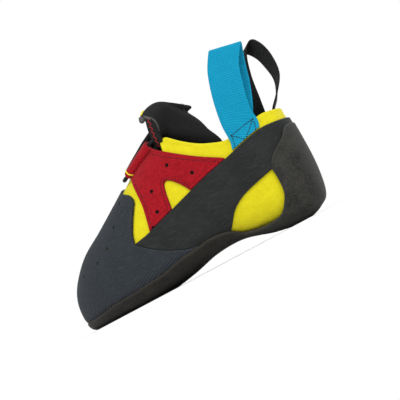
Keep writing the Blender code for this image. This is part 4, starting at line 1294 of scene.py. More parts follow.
class Repeater:
    """Geometry Nodes trees that repeat one small shape along runs or at places."""

    INPUTS = {
        Repeat.STITCH: {"Spacing": "Float", "Length": "Float", "Thickness": "Float",
                        "Slant": "Float", "Unevenness": "Float", "Seed": "Int",
                        "Finish": "Material"},
        Repeat.CUP: {"Radius": "Float", "Depth": "Float", "Finish": "Material"},
    }

    def __init__(self, kind: Repeat) -> None:
        """Build the tree of a kind, or find the one that is there."""
        self.kind = kind
        self.tree = bpy.data.node_groups.get(kind.value)
        if self.tree is None:
            self.tree = bpy.data.node_groups.new(kind.value, "GeometryNodeTree")
            face = self.tree.interface
            face.new_socket("Geometry", in_out="INPUT", socket_type="NodeSocketGeometry")
            face.new_socket("Geometry", in_out="OUTPUT", socket_type="NodeSocketGeometry")
            for name, form in self.INPUTS[kind].items():
                face.new_socket(name, in_out="INPUT", socket_type=f"NodeSocket{form}")
            self.given = self.node("NodeGroupInput").outputs
            self.result = self.node("NodeGroupOutput").inputs
            if kind is Repeat.STITCH:
                self.stitches()
            else:
                self.cups()

    def node(self, kind: str, wires: dict | None = None, **settings: object) -> bpy.types.Node:
        """Add a node, set its properties and join or set its sockets.

        Args:
            kind: The node's type.
            wires: Socket names or numbers with a source socket or a value.
            settings: The node's own properties.
        """
        made = self.tree.nodes.new(kind)
        for key, value in settings.items():
            setattr(made, key, value)
        for key, value in (wires or {}).items():
            if isinstance(value, bpy.types.NodeSocket):
                self.tree.links.new(value, made.inputs[key])
            else:
                made.inputs[key].default_value = value
        return made

    def facing(self, first: object = None) -> object:
        """A turn that lays Z along the stored normal.

        Args:
            first: Direction for X, if it matters.
        """
        up = self.node("GeometryNodeInputNamedAttribute", {"Name": "up"}, data_type="FLOAT_VECTOR")
        up = up.outputs["Attribute"]
        if first is None:
            turn = self.node("FunctionNodeAlignRotationToVector", {"Vector": up}, axis="Z")
        else:
            turn = self.node("FunctionNodeAlignRotationToVector", {"Vector": first}, axis="X")
            turn = self.node("FunctionNodeAlignRotationToVector",
                             {"Rotation": turn.outputs[0], "Vector": up}, axis="Z", pivot_axis="X")
        return turn.outputs[0]

    def finish(self, instances: object) -> None:
        """Realize the instances, shade them smooth and give them their finish."""
        real = self.node("GeometryNodeRealizeInstances", {0: instances})
        smooth = self.node("GeometryNodeSetShadeSmooth", {0: real.outputs[0]})
        dressed = self.node("GeometryNodeSetMaterial",
                            {"Geometry": smooth.outputs[0], "Material": self.given["Finish"]})
        self.tree.links.new(dressed.outputs[0], self.result[0])

    def stitches(self) -> None:
        """Small flattened beads along each run; a slant turns them into a zigzag."""
        given = self.given
        curve = self.node("GeometryNodeMeshToCurve", {"Mesh": given["Geometry"]})
        spots = self.node("GeometryNodeCurveToPoints",
                          {"Curve": curve.outputs[0], "Length": given["Spacing"]}, mode="LENGTH")
        turn = self.facing(spots.outputs["Tangent"])
        order = self.node("GeometryNodeInputIndex").outputs[0]
        odd = self.node("ShaderNodeMath", {0: order, 1: 2.0}, operation="MODULO").outputs[0]
        sign = self.node("ShaderNodeMath", {0: odd, 1: -2.0, 2: 1.0}, operation="MULTIPLY_ADD")
        slant = self.node("ShaderNodeMath", {0: sign.outputs[0], 1: given["Slant"]},
                          operation="MULTIPLY")
        lean = self.node("ShaderNodeCombineXYZ", {"Z": slant.outputs[0]}).outputs[0]
        turn = self.node("FunctionNodeRotateRotation", {"Rotation": turn, "Rotate By": lean},
                         rotation_space="LOCAL").outputs[0]
        least = self.node("ShaderNodeMath", {0: 1.0, 1: given["Unevenness"]}, operation="SUBTRACT")
        most = self.node("ShaderNodeMath", {0: 1.0, 1: given["Unevenness"]}, operation="ADD")
        chance = self.node("FunctionNodeRandomValue", {
            2: least.outputs[0], 3: most.outputs[0], "Seed": given["Seed"]}, data_type="FLOAT")
        length = self.node("ShaderNodeMath", {0: given["Length"], 1: chance.outputs[1]},
                           operation="MULTIPLY")
        size = self.node("ShaderNodeCombineXYZ", {"X": length.outputs[0], "Y": given["Thickness"],
                                                  "Z": given["Thickness"]})
        bead = self.node("GeometryNodeMeshUVSphere", {"Segments": 8, "Rings": 5, "Radius": 0.5})
        lying = self.node("GeometryNodeTransform",
                          {"Geometry": bead.outputs[0], "Rotation": (0.0, pi / 2, 0.0)})
        beads = self.node("GeometryNodeInstanceOnPoints", {
            "Points": spots.outputs["Points"], "Instance": lying.outputs[0], "Rotation": turn,
            "Scale": size.outputs[0]})
        self.finish(beads.outputs[0])

    def cups(self) -> None:
        """A small flat cup at each vertex."""
        given = self.given
        spots = self.node("GeometryNodeMeshToPoints", {"Mesh": given["Geometry"]})
        cup = self.node("GeometryNodeMeshCylinder", {
            "Vertices": 20, "Radius": given["Radius"], "Depth": given["Depth"]})
        cups = self.node("GeometryNodeInstanceOnPoints", {
            "Points": spots.outputs[0], "Instance": cup.outputs[0], "Rotation": self.facing()})
        self.finish(cups.outputs[0])

    def make(self, name: str, slot: str, finish: object, paths: Sequence, sizes: dict) -> None:
        """Lay the shape along paths and keep the result as a plain piece.

        Args:
            name: Name of the piece.
            slot: The record's slot that its finish belongs to.
            finish: The finish of the piece.
            paths: Pairs of points and normals, one for each run.
            sizes: Values for the tree's named inputs.
        """
        points = np.concatenate([path[0] for path in paths])
        normals = np.concatenate([path[1] for path in paths])
        mesh = bpy.data.meshes.new(name)
        edges, start = [], 0
        for path in paths:
            count = len(path[0])
            if self.kind is Repeat.STITCH:
                edges += [(start + n, start + n + 1) for n in range(count - 1)]
            start += count
        mesh.from_pydata((points + LAST.centring).tolist(), edges, [])
        up = mesh.attributes.new("up", "FLOAT_VECTOR", "POINT")
        up.data.foreach_set("vector", normals.astype(np.float32).ravel())
        guide = bpy.data.objects.new(name, mesh)
        bpy.context.scene.collection.objects.link(guide)
        modifier = guide.modifiers.new("repeat", "NODES")
        modifier.node_group = self.tree
        values = dict(sizes, Finish=bpy.data.materials.get(finish.name) or finish.material())
        for item in self.tree.interface.items_tree:
            if item.name in values:
                modifier[item.identifier] = values[item.name]
        graph = bpy.context.evaluated_depsgraph_get()
        plain = bpy.data.meshes.new_from_object(guide.evaluated_get(graph))
        guide.modifiers.clear()
        guide.data = plain
        bpy.data.meshes.remove(mesh)
        Piece(guide, slot).dress(finish)


def sew(name: str, slot: str, stitch: Stitch, paths: Sequence) -> None:
    """Lay one kind of stitch along paths.

    Args:
        name: Name of the piece.
        slot: The record's slot that its finish belongs to.
        stitch: The kind of stitch.
        paths: Pairs of points and normals, one for each run.
    """
    sizes = {"Spacing": stitch.spacing, "Length": stitch.length, "Thickness": stitch.thickness,
             "Slant": stitch.slant, "Unevenness": stitch.unevenness, "Seed": len(name)}
    runs = [path for path in paths if len(path[0]) > 1]
    Repeater(Repeat.STITCH).make(name, slot, stitch.thread, runs, sizes)


@dataclass
class Crease:
    """A soft trough or ridge along a line on the side of the shoe."""

    marks: list
    depth: float
    width: float

    def relief(self, patch: Patch) -> Array:
        """Height of the crease at each vertex of a patch; a trough is negative."""
        path = finer(np.array([LAST.spot(mark) for mark in self.marks]), 6)
        gap = distance_to(patch.side(), path, closed=False)
        return self.depth * np.exp(-(gap / self.width) ** 2)


@dataclass
class Shell:
    """The hollow upper with its rolled collar."""

    throat_floor: float = 0.5
    binding: float = 3.2 * MM
    binding_rise: float = 0.5 * MM
    edge: float = 1.0 * MM
    wave: float = 24 * MM
    unevenness: float = 0.15 * MM
    calm_edge: float = 1.5 * MM
    creases: tuple = (
        Crease([(0.600, 0.860), (0.640, 0.800), (0.700, 0.740)], -0.5 * MM, 2.2 * MM),
        Crease([(0.600, 0.876), (0.607, 0.858), (0.611, 0.838)], -0.5 * MM, 1.1 * MM),
        Crease([(0.620, 0.872), (0.622, 0.850), (0.622, 0.828)], -0.45 * MM, 1.1 * MM),
        Crease([(0.425, 0.640), (0.440, 0.620), (0.450, 0.560)], 0.35 * MM, 2.0 * MM),
        Crease([(0.900, 0.660), (0.930, 0.640), (0.965, 0.650)], -0.35 * MM, 1.8 * MM),
        Crease([(0.720, 0.100), (0.780, 0.060), (0.850, 0.080)], -0.4 * MM, 3.0 * MM),
    )

    def build(self) -> bpy.types.Object:
        """Build and dress the upper."""
        patch = Patch.whole()
        collar = -distance_to(patch.side(), region("collar"))
        slot_rows = finer(np.array([(LAST.x(row[0]), row[1] * LAST.ball_width,
                                     row[2] * LAST.ball_width) for row in THROAT]), LINE_STEPS)
        slot = np.concatenate([slot_rows[:, :2], slot_rows[::-1][:, [0, 2]]])
        throat = -distance_to(patch.points[:, :2], slot)
        floor = LAST.seat + self.throat_floor * LAST.height
        throat = np.where(patch.points[:, 2] > floor, throat, -LAST.length)
        patch.trim(np.maximum(collar, throat))
        for share in (0.15, 0.45, 1.0):
            patch.values["depth"] = self.cut(patch, share * MM)
        depth = patch.values["depth"]
        rise = edge_rise(depth, self.edge, 0.5)
        middle, spread = 0.45 * self.binding, 0.42 * self.binding
        rolled = self.binding_rise * np.exp(-((depth - middle) / spread) ** 2)
        relief = rolled + ripple(patch.points, self.wave, self.unevenness)
        relief += sum(crease.relief(patch) for crease in self.creases)
        relief *= smooth_step(depth / self.calm_edge)
        outer = patch.points + patch.normals * (LAST.wall * (0.5 + 0.5 * rise) + relief)[:, None]
        inner = patch.points + patch.normals * (LAST.wall * 0.5 * (1 - rise))[:, None]
        made = closed_layer("upper_shell", patch, outer, inner)
        Piece(made, "upper", "upper").dress(YELLOW_SUEDE)
        return made

    @staticmethod
    def cut(patch: Patch, depth: float) -> Array:
        """Put vertices at a depth from the edge and return the depths."""
        level = patch.split(patch.values["depth"] - depth)
        return level + depth


@dataclass
class Overlay:
    """A layer laid on the upper or on the form, cut to an outline with a rounded edge."""

    name: str
    node: str
    finish: object
    base: float
    thick: float
    edge: float
    lip: float = 0.35
    seam: float = 0.06 * MM
    wave: float = 21 * MM
    unevenness: float = 0.12 * MM
    calm_edge: float = 2.0 * MM
    rubber: bool = False
    side: Side | None = None
    holes: tuple = ()
    hole_radius: float = 1.4 * MM
    hole_edge: float = 0.35 * MM
    # Discs of painted shade under the perforations: their finish, lift, rim and depth
    hole_shade_finish: Satin = HOLE_SHADE_FINISH
    shade_disc_lift: float = 0.15 * MM
    shade_disc_rim: float = 0.3 * MM
    shade_disc_depth: float = 0.5 * MM
    groove: float = 0.0
    groove_depth: float = 0.45 * MM
    groove_width: float = 0.7 * MM
    toe_start: float = -110 * MM
    toe_keep: float = 0.78
    floor_skin: float = 0.3 * MM

    def centres(self, patch: Patch) -> tuple[Array, Array]:
        """Middles of the perforations on the last, and their normals."""
        sides = (self.side,) if self.side else tuple(Side)
        found = [patch.nearest(station * MM - LAST.length / 2, height * MM, side)
                 for side in sides for station, height in self.holes]
        return patch.points[found], patch.normals[found]

    def punch(self, patch: Patch) -> Array:
        """Make the mesh finer at the perforations, and set a disc of painted shade under each.

        Args:
            patch: The whole form.
        Returns:
            Distance from the perforations' rims, negative outside them.
        """
        middles, normals = self.centres(patch)

        def depth() -> Array:
            """How deep each vertex lies inside a hole."""
            gaps = [np.linalg.norm(patch.points - middle, axis=1) for middle in middles]
            return self.hole_radius - np.min(gaps, axis=0)

        for reach in (4.0, 2.6, 2.0):
            patch.refine(depth() > self.hole_radius - reach * MM)
        # Each disc of painted shade lies just above the layer's base, over the upper
        under = (middles + normals * (self.base + self.shade_disc_lift), normals)
        sizes = {"Radius": self.hole_radius + self.shade_disc_rim, "Depth": self.shade_disc_depth}
        Repeater(Repeat.CUP).make(f"{self.name}_hole_linings", self.node, self.hole_shade_finish, [under],
                                  sizes)
        return depth()

    def outline(self, patch: Patch) -> Array:
        """Where the layer lies.

        Args:
            patch: The whole form.
        Returns:
            A distance from its outline, negative inside.
        """
        def to(name: str) -> Array:
            """Distance from the outline of a piece, negative inside."""
            return distance_to(patch.side(), region(name))

        if self.node == "outsole":
            return to("outsole")
        off_sole = self.seam - to("outsole")
        if self.node == "heel_cup":
            return np.maximum.reduce([to("heel_cup"), -to("leaf window"), off_sole])
        if self.node == "rand":
            off_cup = self.seam - to("heel_cup")
            return np.maximum.reduce([to("rand"), -to("leaf window"), off_sole, off_cup])
        off_rand = self.seam - to("rand")
        if self.node == "toe_cap":
            return np.maximum.reduce([to("toe_cap"), off_sole, off_rand])
        half = -patch.points[:, 1] * self.side.value
        return np.maximum.reduce([to("red"), -to("red window"), off_rand, half])

    def build(self) -> bpy.types.Object:
        """Build and dress the layer."""
        patch = Patch.whole(LAST.rubber_out, True) if self.rubber else Patch.whole()
        if self.holes:
            hole = self.punch(patch)
        else:
            hole = np.full(len(patch.points), -LAST.length)
        border = self.outline(patch)
        patch.values["border"], patch.values["hole"] = -border, -hole
        patch.trim(np.maximum(border, hole))
        for share in (0.12, 0.4, 1.0):
            self.split_at("border", patch, share * self.edge)
        if self.groove:
            patch.refine(np.abs(patch.values["border"] - self.groove) < 1.5 * self.groove_width)
        if self.holes:
            for share in (0.3, 1.0):
                self.split_at("hole", patch, share * self.hole_edge)
        depth = patch.values["border"]
        relief = ripple(patch.points, self.wave, self.unevenness, len(self.name))
        if self.groove:
            sunk = np.exp(-((depth - self.groove) / self.groove_width) ** 2)
            relief -= self.groove_depth * sunk
        relief = relief * smooth_step(depth / self.calm_edge)
        rise = np.minimum(edge_rise(depth, self.edge, self.lip),
                          edge_rise(patch.values["hole"], self.hole_edge, self.lip))
        drop = (1 - rise) * self.thick
        if self.rubber:
            outer = patch.points + patch.normals * (relief - drop)[:, None]
            inner = patch.points - patch.normals * self.thick
        else:
            outer = patch.points + patch.normals * (self.base + self.thick + relief - drop)[:, None]
            inner = patch.points + patch.normals * self.base
        if self.rubber:
            outer[:, 0] = self.tucked(outer[:, 0])
            inner[:, 0] = self.tucked(inner[:, 0])
            outer[:, 2] = np.maximum(outer[:, 2], 0.0)
            low = inner[:, 2] < self.floor_skin
            inner[:, 2] = np.maximum(inner[:, 2], outer[:, 2] + self.floor_skin * low)
        made = closed_layer(self.name, patch, outer, inner)
        Piece(made, self.node, self.node).dress(self.finish)
        return made

    def tucked(self, x: Array) -> Array:
        """Draw the toe of the rubber in, flush with the patch above it."""
        return np.where(x < self.toe_start, self.toe_start + (x - self.toe_start) * self.toe_keep, x)

    @staticmethod
    def split_at(key: str, patch: Patch, depth: float) -> None:
        """Put vertices where a stored distance has a value."""
        patch.split(patch.values[key] - depth)


PANEL_BASE = LAST.wall + 0.1 * MM
PANEL_THICK = LAST.skin + 0.2 * MM
LAYERS = (
    Overlay("sole", "outsole", SOLE_RUBBER, base=0.0, thick=2.2 * MM, edge=1.5 * MM, lip=0.62,
            rubber=True),
    Overlay("heel_rubber", "heel_cup", HEEL_RUBBER, base=0.0, thick=2.0 * MM, edge=1.1 * MM, lip=0.55,
            rubber=True),
    Overlay("tension_rand", "rand", RAND_RUBBER, PANEL_BASE, PANEL_THICK, edge=0.9 * MM),
    # The toe patch's holes get dark yellow discs of painted shade and glints
    Overlay("toe_patch", "toe_cap", TOE_RUBBER, PANEL_BASE, PANEL_THICK, edge=0.8 * MM,
            holes=TOE_HOLES, hole_shade_finish=TOE_HOLE_SHADE_FINISH),
    Overlay("suede_overlay_outer", "overlay_lateral", RED_SUEDE, PANEL_BASE, PANEL_THICK,
            edge=0.8 * MM, side=Side.LATERAL, holes=RED_HOLES, groove=2.8 * MM),
    Overlay("suede_overlay_inner", "overlay_medial", RED_SUEDE, PANEL_BASE, PANEL_THICK,
            edge=0.8 * MM, side=Side.MEDIAL, holes=RED_HOLES, groove=2.8 * MM),
)


@dataclass
class Needlework:
    """Hems, seams and edge stitches on the upper's panels."""

    hem: float = 2.9 * MM
    window_hem: float = 2.7 * MM
    patch_seam: float = 0.5 * MM
    patch_lift: float = 1.1 * MM

    def build(self, made: dict[str, bpy.types.Object]) -> None:
        """Sew the panels that are there.

        Args:
            made: The finished layers by their solid's name.
        """
        for side in Side:
            red = Face.of(made[f"overlay_{side.name.lower()}"], side)
            top = beside_line(line("red edge", slice(5, None)), -self.hem)
            front = beside_line(line("red edge", slice(0, 4)), -self.hem)
            window = beside_line(line("red window"), self.window_hem)
            paths = [red.path(finer(path, 2)) for path in (top[1:], front[4:-2], window[3:-3])]
            sew(f"hem_stitches_{side.name.lower()}", f"overlay_{side.name.lower()}", HEM_STITCH,
                paths)
            toe = Face.of(made["upper"], side)
            edge = beside_line(line("patch edge")[2:-9], -self.patch_seam)
            points, normals = toe.path(finer(edge, 2))
            sew(f"patch_edge_stitches_{side.name.lower()}", "toe_cap", PATCH_STITCH,
                [(points + normals * self.patch_lift, normals)])


@dataclass
class Closure:
    """Tongue with its hood and leg, strap, ring, and the suede roll with its yellow cord."""

    ring_rear: float = 0.5885
    ring_length: float = 41.0 * MM
    ring_wire: float = 3.2 * MM
    ring_span: float = 10.5 * MM
    keeper_width: float = 10.4 * MM
    keeper_height: float = 7.2 * MM
    strap_thick: float = 1.6 * MM
    tongue_thick: float = 2.2 * MM
    tongue_gap: float = 0.8 * MM
    hood_padding: float = 1.2 * MM
    root_rows: tuple = (6.0, 6.5, 7.0, 7.5, 8.0, 8.5)
    hood_seam: float = 5.0 * MM
    hood_seam_run: float = 30.0 * MM
    hood_brim: float = 0.5 * MM
    hood_brim_run: tuple = (34.0 * MM, 10.0 * MM)
    hood_lip_run: float = 4.0 * MM
    hood_tab_seam: float = 6.0 * MM
    box_run: tuple = (16.0 * MM, 4.0 * MM)
    zigzag_seam: float = 31.0 * MM
    bend_steps: int = 8
    corner_steps: int = 8
    wire_sides: int = 16
    roll_sides: int = 40
    roll_rings: int = 34
    roll_edge: float = 1.2 * MM
    roll_rounding: float = 0.10
    roll_wave: float = 0.012
    piping_inset: float = 3.4 * MM
    piping_sway: float = 1.0 * MM
    piping_lift: float = 0.25 * MM

    def __post_init__(self) -> None:
        """Work out the places that follow from the sizes."""
        self.ring_front = self.ring_rear * LAST.length - self.ring_length
        self.ring_lift = LAST.skin_in + LAST.slack + self.keeper_height / 2
        self.strap_front = self.ring_front + 1.5 * self.ring_wire
        self.strap_width = self.ring_length - 3.0 * self.ring_wire

    def tongue(self) -> None:
        """The tongue, under the throat edges and free above the collar."""
        grid = LAST.coarse(-self.tongue_gap - self.tongue_thick / 2, self.root_rows)[1:-1]
        crown = int(np.argmax(grid[-1, :, 2]))
        rows = [row for row in grid[:, crown - 2:crown + 3][:, ::-1]]
        for row in TONGUE_TOP:
            ends = np.array([row[0:3], row[3:6], row[6:9]])
            rows.append(np.array([LAST.point(*shares)
                                  for shares in catmull(ends, np.linspace(0, 2, 5))]))
        rows = finer_sheet(np.array(rows), 8, 8)
        free = smooth_step(np.linspace(-2.2, 1.0, len(rows)))
        thick = self.tongue_thick + free * self.hood_padding
        made = ribbon("tongue_hood", rows, thick, rim=5)
        Piece(made, "tongue", "tongue").dress(TONGUE_KNIT)
        self.hood_trim(Band(rows, self.tongue_thick + self.hood_padding))

    def hood_trim(self, band: Band) -> None:
        """Seam stitches, binding, thick lip and small tab of the hood.

        Args:
            band: The middle surface of the tongue.
        """
        end = band.length()
        seam, top, tab = end - self.hood_seam, end - self.hood_brim, end - self.hood_tab_seam
        first, final = self.hood_brim_run
        edge = [(seam, 0.12), (seam, 0.90)]
        rise = [(seam, 0.90), (end - self.hood_seam_run, 0.93)]
        sew("hood_seam_stitches", "tongue", HOOD_STITCH, band.both(edge, 24) + band.both(rise, 24))
        brim = [(end - first, 0.0), (top, 0.0), (top, 1.0), (end - final, 1.0)]
        sew("hood_binding", "tongue", HOOD_BINDING, [band.path(brim, 0.0, 40)])
        lip = [(end - self.hood_lip_run, 0.0), (top, 0.0), (top, 0.22)]
        sew("hood_lip", "tongue", HOOD_LIP, [band.path(lip, 0.0, 12)])
        sew("hood_tab", "tongue", HOOD_TAB, [band.path([(tab, 0.05), (tab, 0.22)], -1.0, 10)])

    def leg(self) -> None:
        """The narrow leg that runs from the hood's lip down to the roll."""
        rows = [[LAST.point(*row[:3]), LAST.point(*row[3:])] for row in HOOD_LEG]
        rows = finer_sheet(rows, 6, 6)
        Piece(ribbon("hood_leg", rows, self.tongue_thick), "tongue").dress(TONGUE_KNIT)
        band = Band(rows, self.tongue_thick)
        run = [(1.0 * MM, 0.35), (band.length(), 0.45)]
        sew("hood_leg_zigzag", "tongue", LEG_ZIGZAG, band.both(run, 20))

    def track(self) -> list[tuple[float, float, float]]:
        """Turn, length across and lift of the strap's rows."""
        low = LAST.wall + LAST.slack + self.strap_thick / 2
        bend = self.ring_lift - low
        rows = [(turn, 0.0, low + over * (LAST.skin_out - LAST.wall)) for turn, over in STRAP_UNDER]
        swings = [pi * step / self.bend_steps for step in range(1, self.bend_steps)]
        rows += [(0.0, -bend * sin(swing), self.ring_lift - bend * cos(swing)) for swing in swings]
        for turn, overlay, strap, bar in STRAP_OVER:
            lift = (low + overlay * (LAST.skin_out - LAST.wall)
                    + strap * (self.strap_thick + LAST.slack) + bar * 2 * bend)
            rows.append((turn, 0.0, lift))
        return rows

    def strap(self) -> None:
        """The strap up from the inner side, round the ring and back over itself."""
        stations = np.linspace(self.strap_front, self.strap_front + self.strap_width, 5)
        grid = [[LAST.beside(x - LAST.length / 2, turn, across, lift)[0] for x in stations]
                for turn, across, lift in self.track()]
        rows = finer_sheet(grid, 4, 6)
        Piece(ribbon("closure_strap", rows, self.strap_thick), "strap", "strap").dress(STRAP_CLOTH)
        band = Band(rows, self.strap_thick)
        total = band.length()
        start, end = (total - back for back in self.box_run)
        near = total - self.zigzag_seam
        box = [(start, 0.10), (end, 0.10), (end, 0.90), (start, 0.90), (start, 0.10)]
        sew("strap_box_stitches", "strap", STRAP_BOX, band.both(box, 18))
        zigzag = [(near, 0.08), (near, 0.92)]
        sew("strap_zigzag_stitches", "strap", STRAP_ZIGZAG, band.both(zigzag, 20))

    def by_ring(self, x: float, across: float) -> tuple[Array, Array]:
        """A place at the height of the ring, and its normal."""
        return LAST.beside(x, 0.0, across, self.ring_lift)

    def ring(self) -> None:
        """The rounded rectangular wire ring."""
        half_long, half_short, corner = self.ring_length / 2, self.ring_span / 2, self.ring_wire
        path = []
        for number, (side_x, side_y) in enumerate(((1, 1), (-1, 1), (-1, -1), (1, -1))):
            for step in range(self.corner_steps + 1):
                swing = pi / 2 * (number + step / self.corner_steps)
                path.append((side_x * (half_long - corner) + corner * cos(swing),
                             side_y * (half_short - corner) + corner * sin(swing) - half_short))
        filled = []
        for a, b in zip(path, path[1:] + path[:1]):
            parts = max(1, round(float(np.hypot(b[0] - a[0], b[1] - a[1]) / self.ring_wire)))
            filled += [(a[0] + (b[0] - a[0]) * n / parts, a[1] + (b[1] - a[1]) * n / parts)
                       for n in range(parts)]
        centre = self.ring_front + self.ring_length / 2 - LAST.length / 2
        frames = [self.by_ring(centre + x, across) for x, across in filled]
        points = np.array([point for point, _ in frames])
        normals = np.array([normal for _, normal in frames])
        ahead = np.roll(points, -1, axis=0) - np.roll(points, 1, axis=0)
        out = unit(np.cross(ahead, normals))
        up = unit(np.cross(out, ahead))
        angles = np.arange(self.wire_sides) * pi / (self.wire_sides / 2)
        loops = (points[:, None] + self.ring_wire / 2
                 * (up[:, None] * np.sin(angles)[:, None] + out[:, None] * np.cos(angles)[:, None]))
        Piece(tube("wire_ring", loops, True), "ring", "ring").dress(RING_ENAMEL)

    def keeper(self) -> None:
        """The suede roll round the outer bar of the ring."""
        start = self.ring_front + 2 * self.ring_wire - LAST.length / 2
        length = self.ring_length - 4 * self.ring_wire
        hole = self.ring_wire / 2 + LAST.slack
        angles = np.arange(self.roll_sides) * pi / (self.roll_sides / 2)
        ring_c, ring_s = np.cos(angles)[:, None], np.sin(angles)[:, None]
        outer, inner = [], []
        for share in np.linspace(0, 1, self.roll_rings):
            x = start + share * length
            point, normal = self.by_ring(x, -self.ring_span)
            ahead = self.by_ring(x, MM - self.ring_span)[0]
            behind = self.by_ring(x, -MM - self.ring_span)[0]
            side = (ahead - behind) / np.linalg.norm(ahead - behind)
            ends = min(share, 1 - share) * length
            swell = (1.0 - self.roll_rounding * (1 - min(ends / self.roll_edge, 1.0)) ** 2
                     + self.roll_wave * sin(23 * share))
            outer.append(point + (side * self.keeper_width / 2 * ring_c
                                  + normal * self.keeper_height / 2 * ring_s) * swell)
            inner.append(point + (side * ring_c + normal * ring_s) * hole)
        made = tube("keeper_roll", np.array(outer + inner[::-1]), True)
        depth = made.data.attributes.new("depth", "FLOAT", "POINT")
        depth.data.foreach_set("value", np.full(len(made.data.vertices), 0.01, np.float32))
        Piece(made, "keeper_loop", "keeper_loop").dress(RED_SUEDE)

    def piping(self) -> None:
        """Two short strokes of yellow cord round the toe end of the roll."""
        start = self.ring_front + 2 * self.ring_wire - LAST.length / 2
        paths = []
        for first, final in ((0.50 * pi, 0.98 * pi), (1.06 * pi, 1.50 * pi)):
            points, outs = [], []
            for swing in np.linspace(first, final, 12):
                x = start + self.piping_inset - self.piping_sway * sin(swing)
                middle, normal = self.by_ring(x, -self.ring_span)
                ahead = self.by_ring(x, MM - self.ring_span)[0]
                side = unit(ahead - middle)
                out = unit(side * cos(swing) + normal * sin(swing))
                points.append(middle + side * cos(swing) * self.keeper_width / 2
                              + normal * sin(swing) * self.keeper_height / 2
                              + out * self.piping_lift)
                outs.append(out)
            paths.append((np.array(points), np.array(outs)))
        sew("piping_cord", "keeper_loop", PIPING_CORD, paths)

    def build(self) -> None:
        """Build and dress the closure."""
        self.tongue()
        self.leg()
        self.strap()
        self.ring()
        self.keeper()
        self.piping()


@dataclass
class PullLoops:
    """The two webbing loops at the heel."""

    thick: float = 1.4 * MM
    gap: float = 0.9 * MM
    box_low: float = 0.4 * MM
    box_high: float = 9.5 * MM

    def loop(self, name: str, node: str, rows: Sequence, finish: Weave, wall: BVHTree) -> Band:
        """One loop: ends on the collar wall, the rows between free.

        Args:
            name: Name of the piece.
            node: The solid it stands for.
            rows: Front and back edge of each row and how it is held.
            wall: The last as a surface that can be looked up.
        Returns:
            The band that the loop follows.
        """
        grid = []
        for row in rows:
            front = (*LAST.spot((row[0], row[2])), row[1])
            back = (*LAST.spot((row[3], row[5])), row[4])
            points = []
            for share in np.linspace(0, 1, 4):
                x, z, y = (a + (b - a) * share for a, b in zip(front, back))
                if row[6]:
                    side = 1.0 if y > 0 else -1.0
                    lift = row[6] * (self.gap + self.thick / 2) + (LAST.wall if row[6] > 0 else 0.0)
                    hit, normal, _, _ = wall.ray_cast(Vector((x, 0.0, z)), Vector((0.0, side, 0.0)))
                    points.append(tuple(hit + normal * lift))
                else:
                    points.append((x, y * LAST.heel_width, z))
            grid.append(points)
        rows = finer_sheet(grid, 9, 5)
        Piece(ribbon(name, rows, self.thick), node, node).dress(finish)
        return Band(rows, self.thick)

    def build(self) -> None:
        """Build and dress both loops."""
        patch = Patch.whole()
        wall = BVHTree.FromPolygons(patch.points.tolist(), patch.triangles.tolist())
        blue = self.loop("blue_pull_loop", "blue_loop", BLUE_LOOP, BLUE_WEBBING, wall)
        self.loop("black_pull_loop", "black_loop", BLACK_LOOP, BLACK_WEBBING, wall)
        low, high, left, right = self.box_low, self.box_high, 0.10, 0.90
        box = [(low, left), (high, left), (high, right), (low, right)]
        crosses = [[(high, left), (low, 0.46)], [(high, right), (low, 0.56)]]
        paths = [blue.path(box, -1.0, 20)] + [blue.path(cross, -1.0, 10) for cross in crosses]
        sew("blue_loop_box_stitches", "blue_loop", LOOP_BOX, paths)


@dataclass
class Footbed:
    """The insole board."""

    thick: float = 1.6 * MM
    gap: float = 0.9 * MM
    turned_up: float = 4.0 * MM
    heel_curve: float = 14.0 * MM
    narrowest: float = 0.25
    reach: tuple = (2, 12)
    across: int = 17

    def build(self) -> None:
        """Build and dress the insole."""
        points, normals, _ = LAST.grid()
        first, final = (sum(LAST.ring_steps[:row]) for row in self.reach)
        rows = []
        count = np.arange(LAST.ring_points)
        for ring in range(first, final + 1, 2):
            heights = np.roll(points[ring, :, 2], LAST.ring_points // 2)
            under = np.flatnonzero(heights < heights.min() + self.turned_up)
            left = (points[final, 0, 0] - points[ring, 0, 0]) / self.heel_curve
            half = (under[-1] - under[0]) / 2
            if left < 1:
                half *= self.narrowest + (1 - self.narrowest) * (left * (2 - left)) ** 0.5
            middle = (under[-1] + under[0]) / 2
            places = np.linspace(middle - half, middle + half, self.across)
            spot, normal = (np.column_stack([
                np.interp(places, count, np.roll(data[ring, :, axis], LAST.ring_points // 2))
                for axis in range(3)]) for data in (points, normals))
            rows.append(spot - unit(normal) * (self.gap + self.thick / 2))
        made = ribbon("footbed_board", np.array(rows), self.thick)
        Piece(made, "insole", "insole").dress(FELT_BOARD)


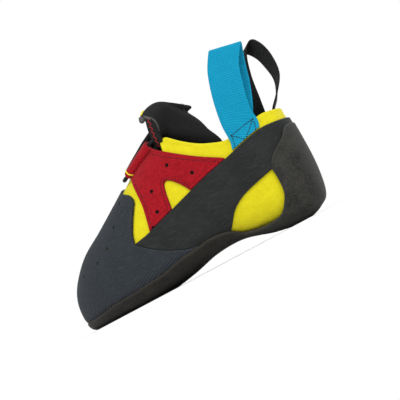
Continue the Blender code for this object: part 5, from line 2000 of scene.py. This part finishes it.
@dataclass
class Studio:
    """Pale floor, soft lights and the camera at the photograph's angle to the shoe."""

    azimuth: float = radians(20.0)
    elevation: float = radians(-4.0)
    roll: float = radians(28.0)
    distance: float = 0.86
    aim: tuple = (-0.0005, 0.0, 0.062)
    width_seen: float = 0.340
    shift: tuple = (0.056, 0.012)
    floor_reach: float = 30.0
    sky: float = 0.72
    key_way: tuple = (0.35, -0.75, 0.85)
    key_power: float = 1.5
    rim_way: tuple = (0.6, 0.8, 0.9)
    rim_power: float = 0.6
    softness: float = 40.0

    def floor(self) -> None:
        """A wide pale floor."""
        size = self.floor_reach
        made = add_mesh("studio_floor", np.array([(-size, -size, 0), (size, -size, 0),
                                                  (size, size, 0), (-size, size, 0)])
                        - LAST.centring, [(0, 1, 2, 3)])
        made.data.materials.append(PAPER.material())

    def axes(self) -> tuple[Vector, Vector, Vector]:
        """Right, up and backward axes of the rolled camera."""
        back = Vector((sin(self.azimuth) * cos(self.elevation),
                       -cos(self.azimuth) * cos(self.elevation), sin(self.elevation)))
        right = Vector((cos(self.azimuth), sin(self.azimuth), 0.0))
        up = back.cross(right)
        return (right * cos(self.roll) - up * sin(self.roll),
                up * cos(self.roll) + right * sin(self.roll), back)

    def camera(self) -> None:
        """The camera, just above the floor."""
        right, up, back = self.axes()
        turn = Matrix((right, up, back)).transposed().to_4x4()
        data = bpy.data.cameras.new("camera")
        data.sensor_width = 36.0
        data.lens = data.sensor_width * self.distance / self.width_seen
        data.shift_x, data.shift_y = self.shift
        data.clip_start = 0.05
        made = bpy.data.objects.new("camera", data)
        bpy.context.scene.collection.objects.link(made)
        made.matrix_world = Matrix.Translation(Vector(self.aim) + back * self.distance) @ turn
        bpy.context.scene.camera = made

    def sun(self, name: str, way: tuple, power: float) -> None:
        """A soft light from far away.

        Args:
            name: Name of the light.
            way: Direction towards the light.
            power: Strength.
        """
        data = bpy.data.lights.new(name, "SUN")
        data.energy = power
        data.angle = radians(self.softness)
        made = bpy.data.objects.new(name, data)
        bpy.context.scene.collection.objects.link(made)
        made.matrix_world = Vector(way).to_track_quat("Z", "Y").to_matrix().to_4x4()

    def backdrop(self) -> None:
        """A white surround that lights the shoe evenly."""
        world = bpy.context.scene.world or bpy.data.worlds.new("studio")
        bpy.context.scene.world = world
        world.use_nodes = True
        nodes, links = world.node_tree.nodes, world.node_tree.links
        shade = nodes["Background"]
        shade.inputs["Color"].default_value = (1.0, 1.0, 1.0, 1.0)
        seen = nodes.new("ShaderNodeMapRange")
        seen.inputs["To Min"].default_value = self.sky
        links.new(nodes.new("ShaderNodeLightPath").outputs["Is Camera Ray"], seen.inputs["Value"])
        links.new(seen.outputs["Result"], shade.inputs["Strength"])

    def build(self) -> None:
        """Build the studio."""
        bpy.context.scene.view_settings.view_transform = "Standard"
        self.floor()
        self.camera()
        self.backdrop()
        self.sun("key", self.key_way, self.key_power)
        self.sun("rim", self.rim_way, self.rim_power)


def main() -> None:
    """Build every sub-assembly in order."""
    logging.basicConfig(level=logging.INFO)
    Studio().build()
    Footbed().build()
    made = {"upper": Shell().build()}
    made.update({layer.node: layer.build() for layer in LAYERS})
    Needlework().build(made)
    Closure().build()
    PullLoops().build()


if __name__ == "__main__":
    main()
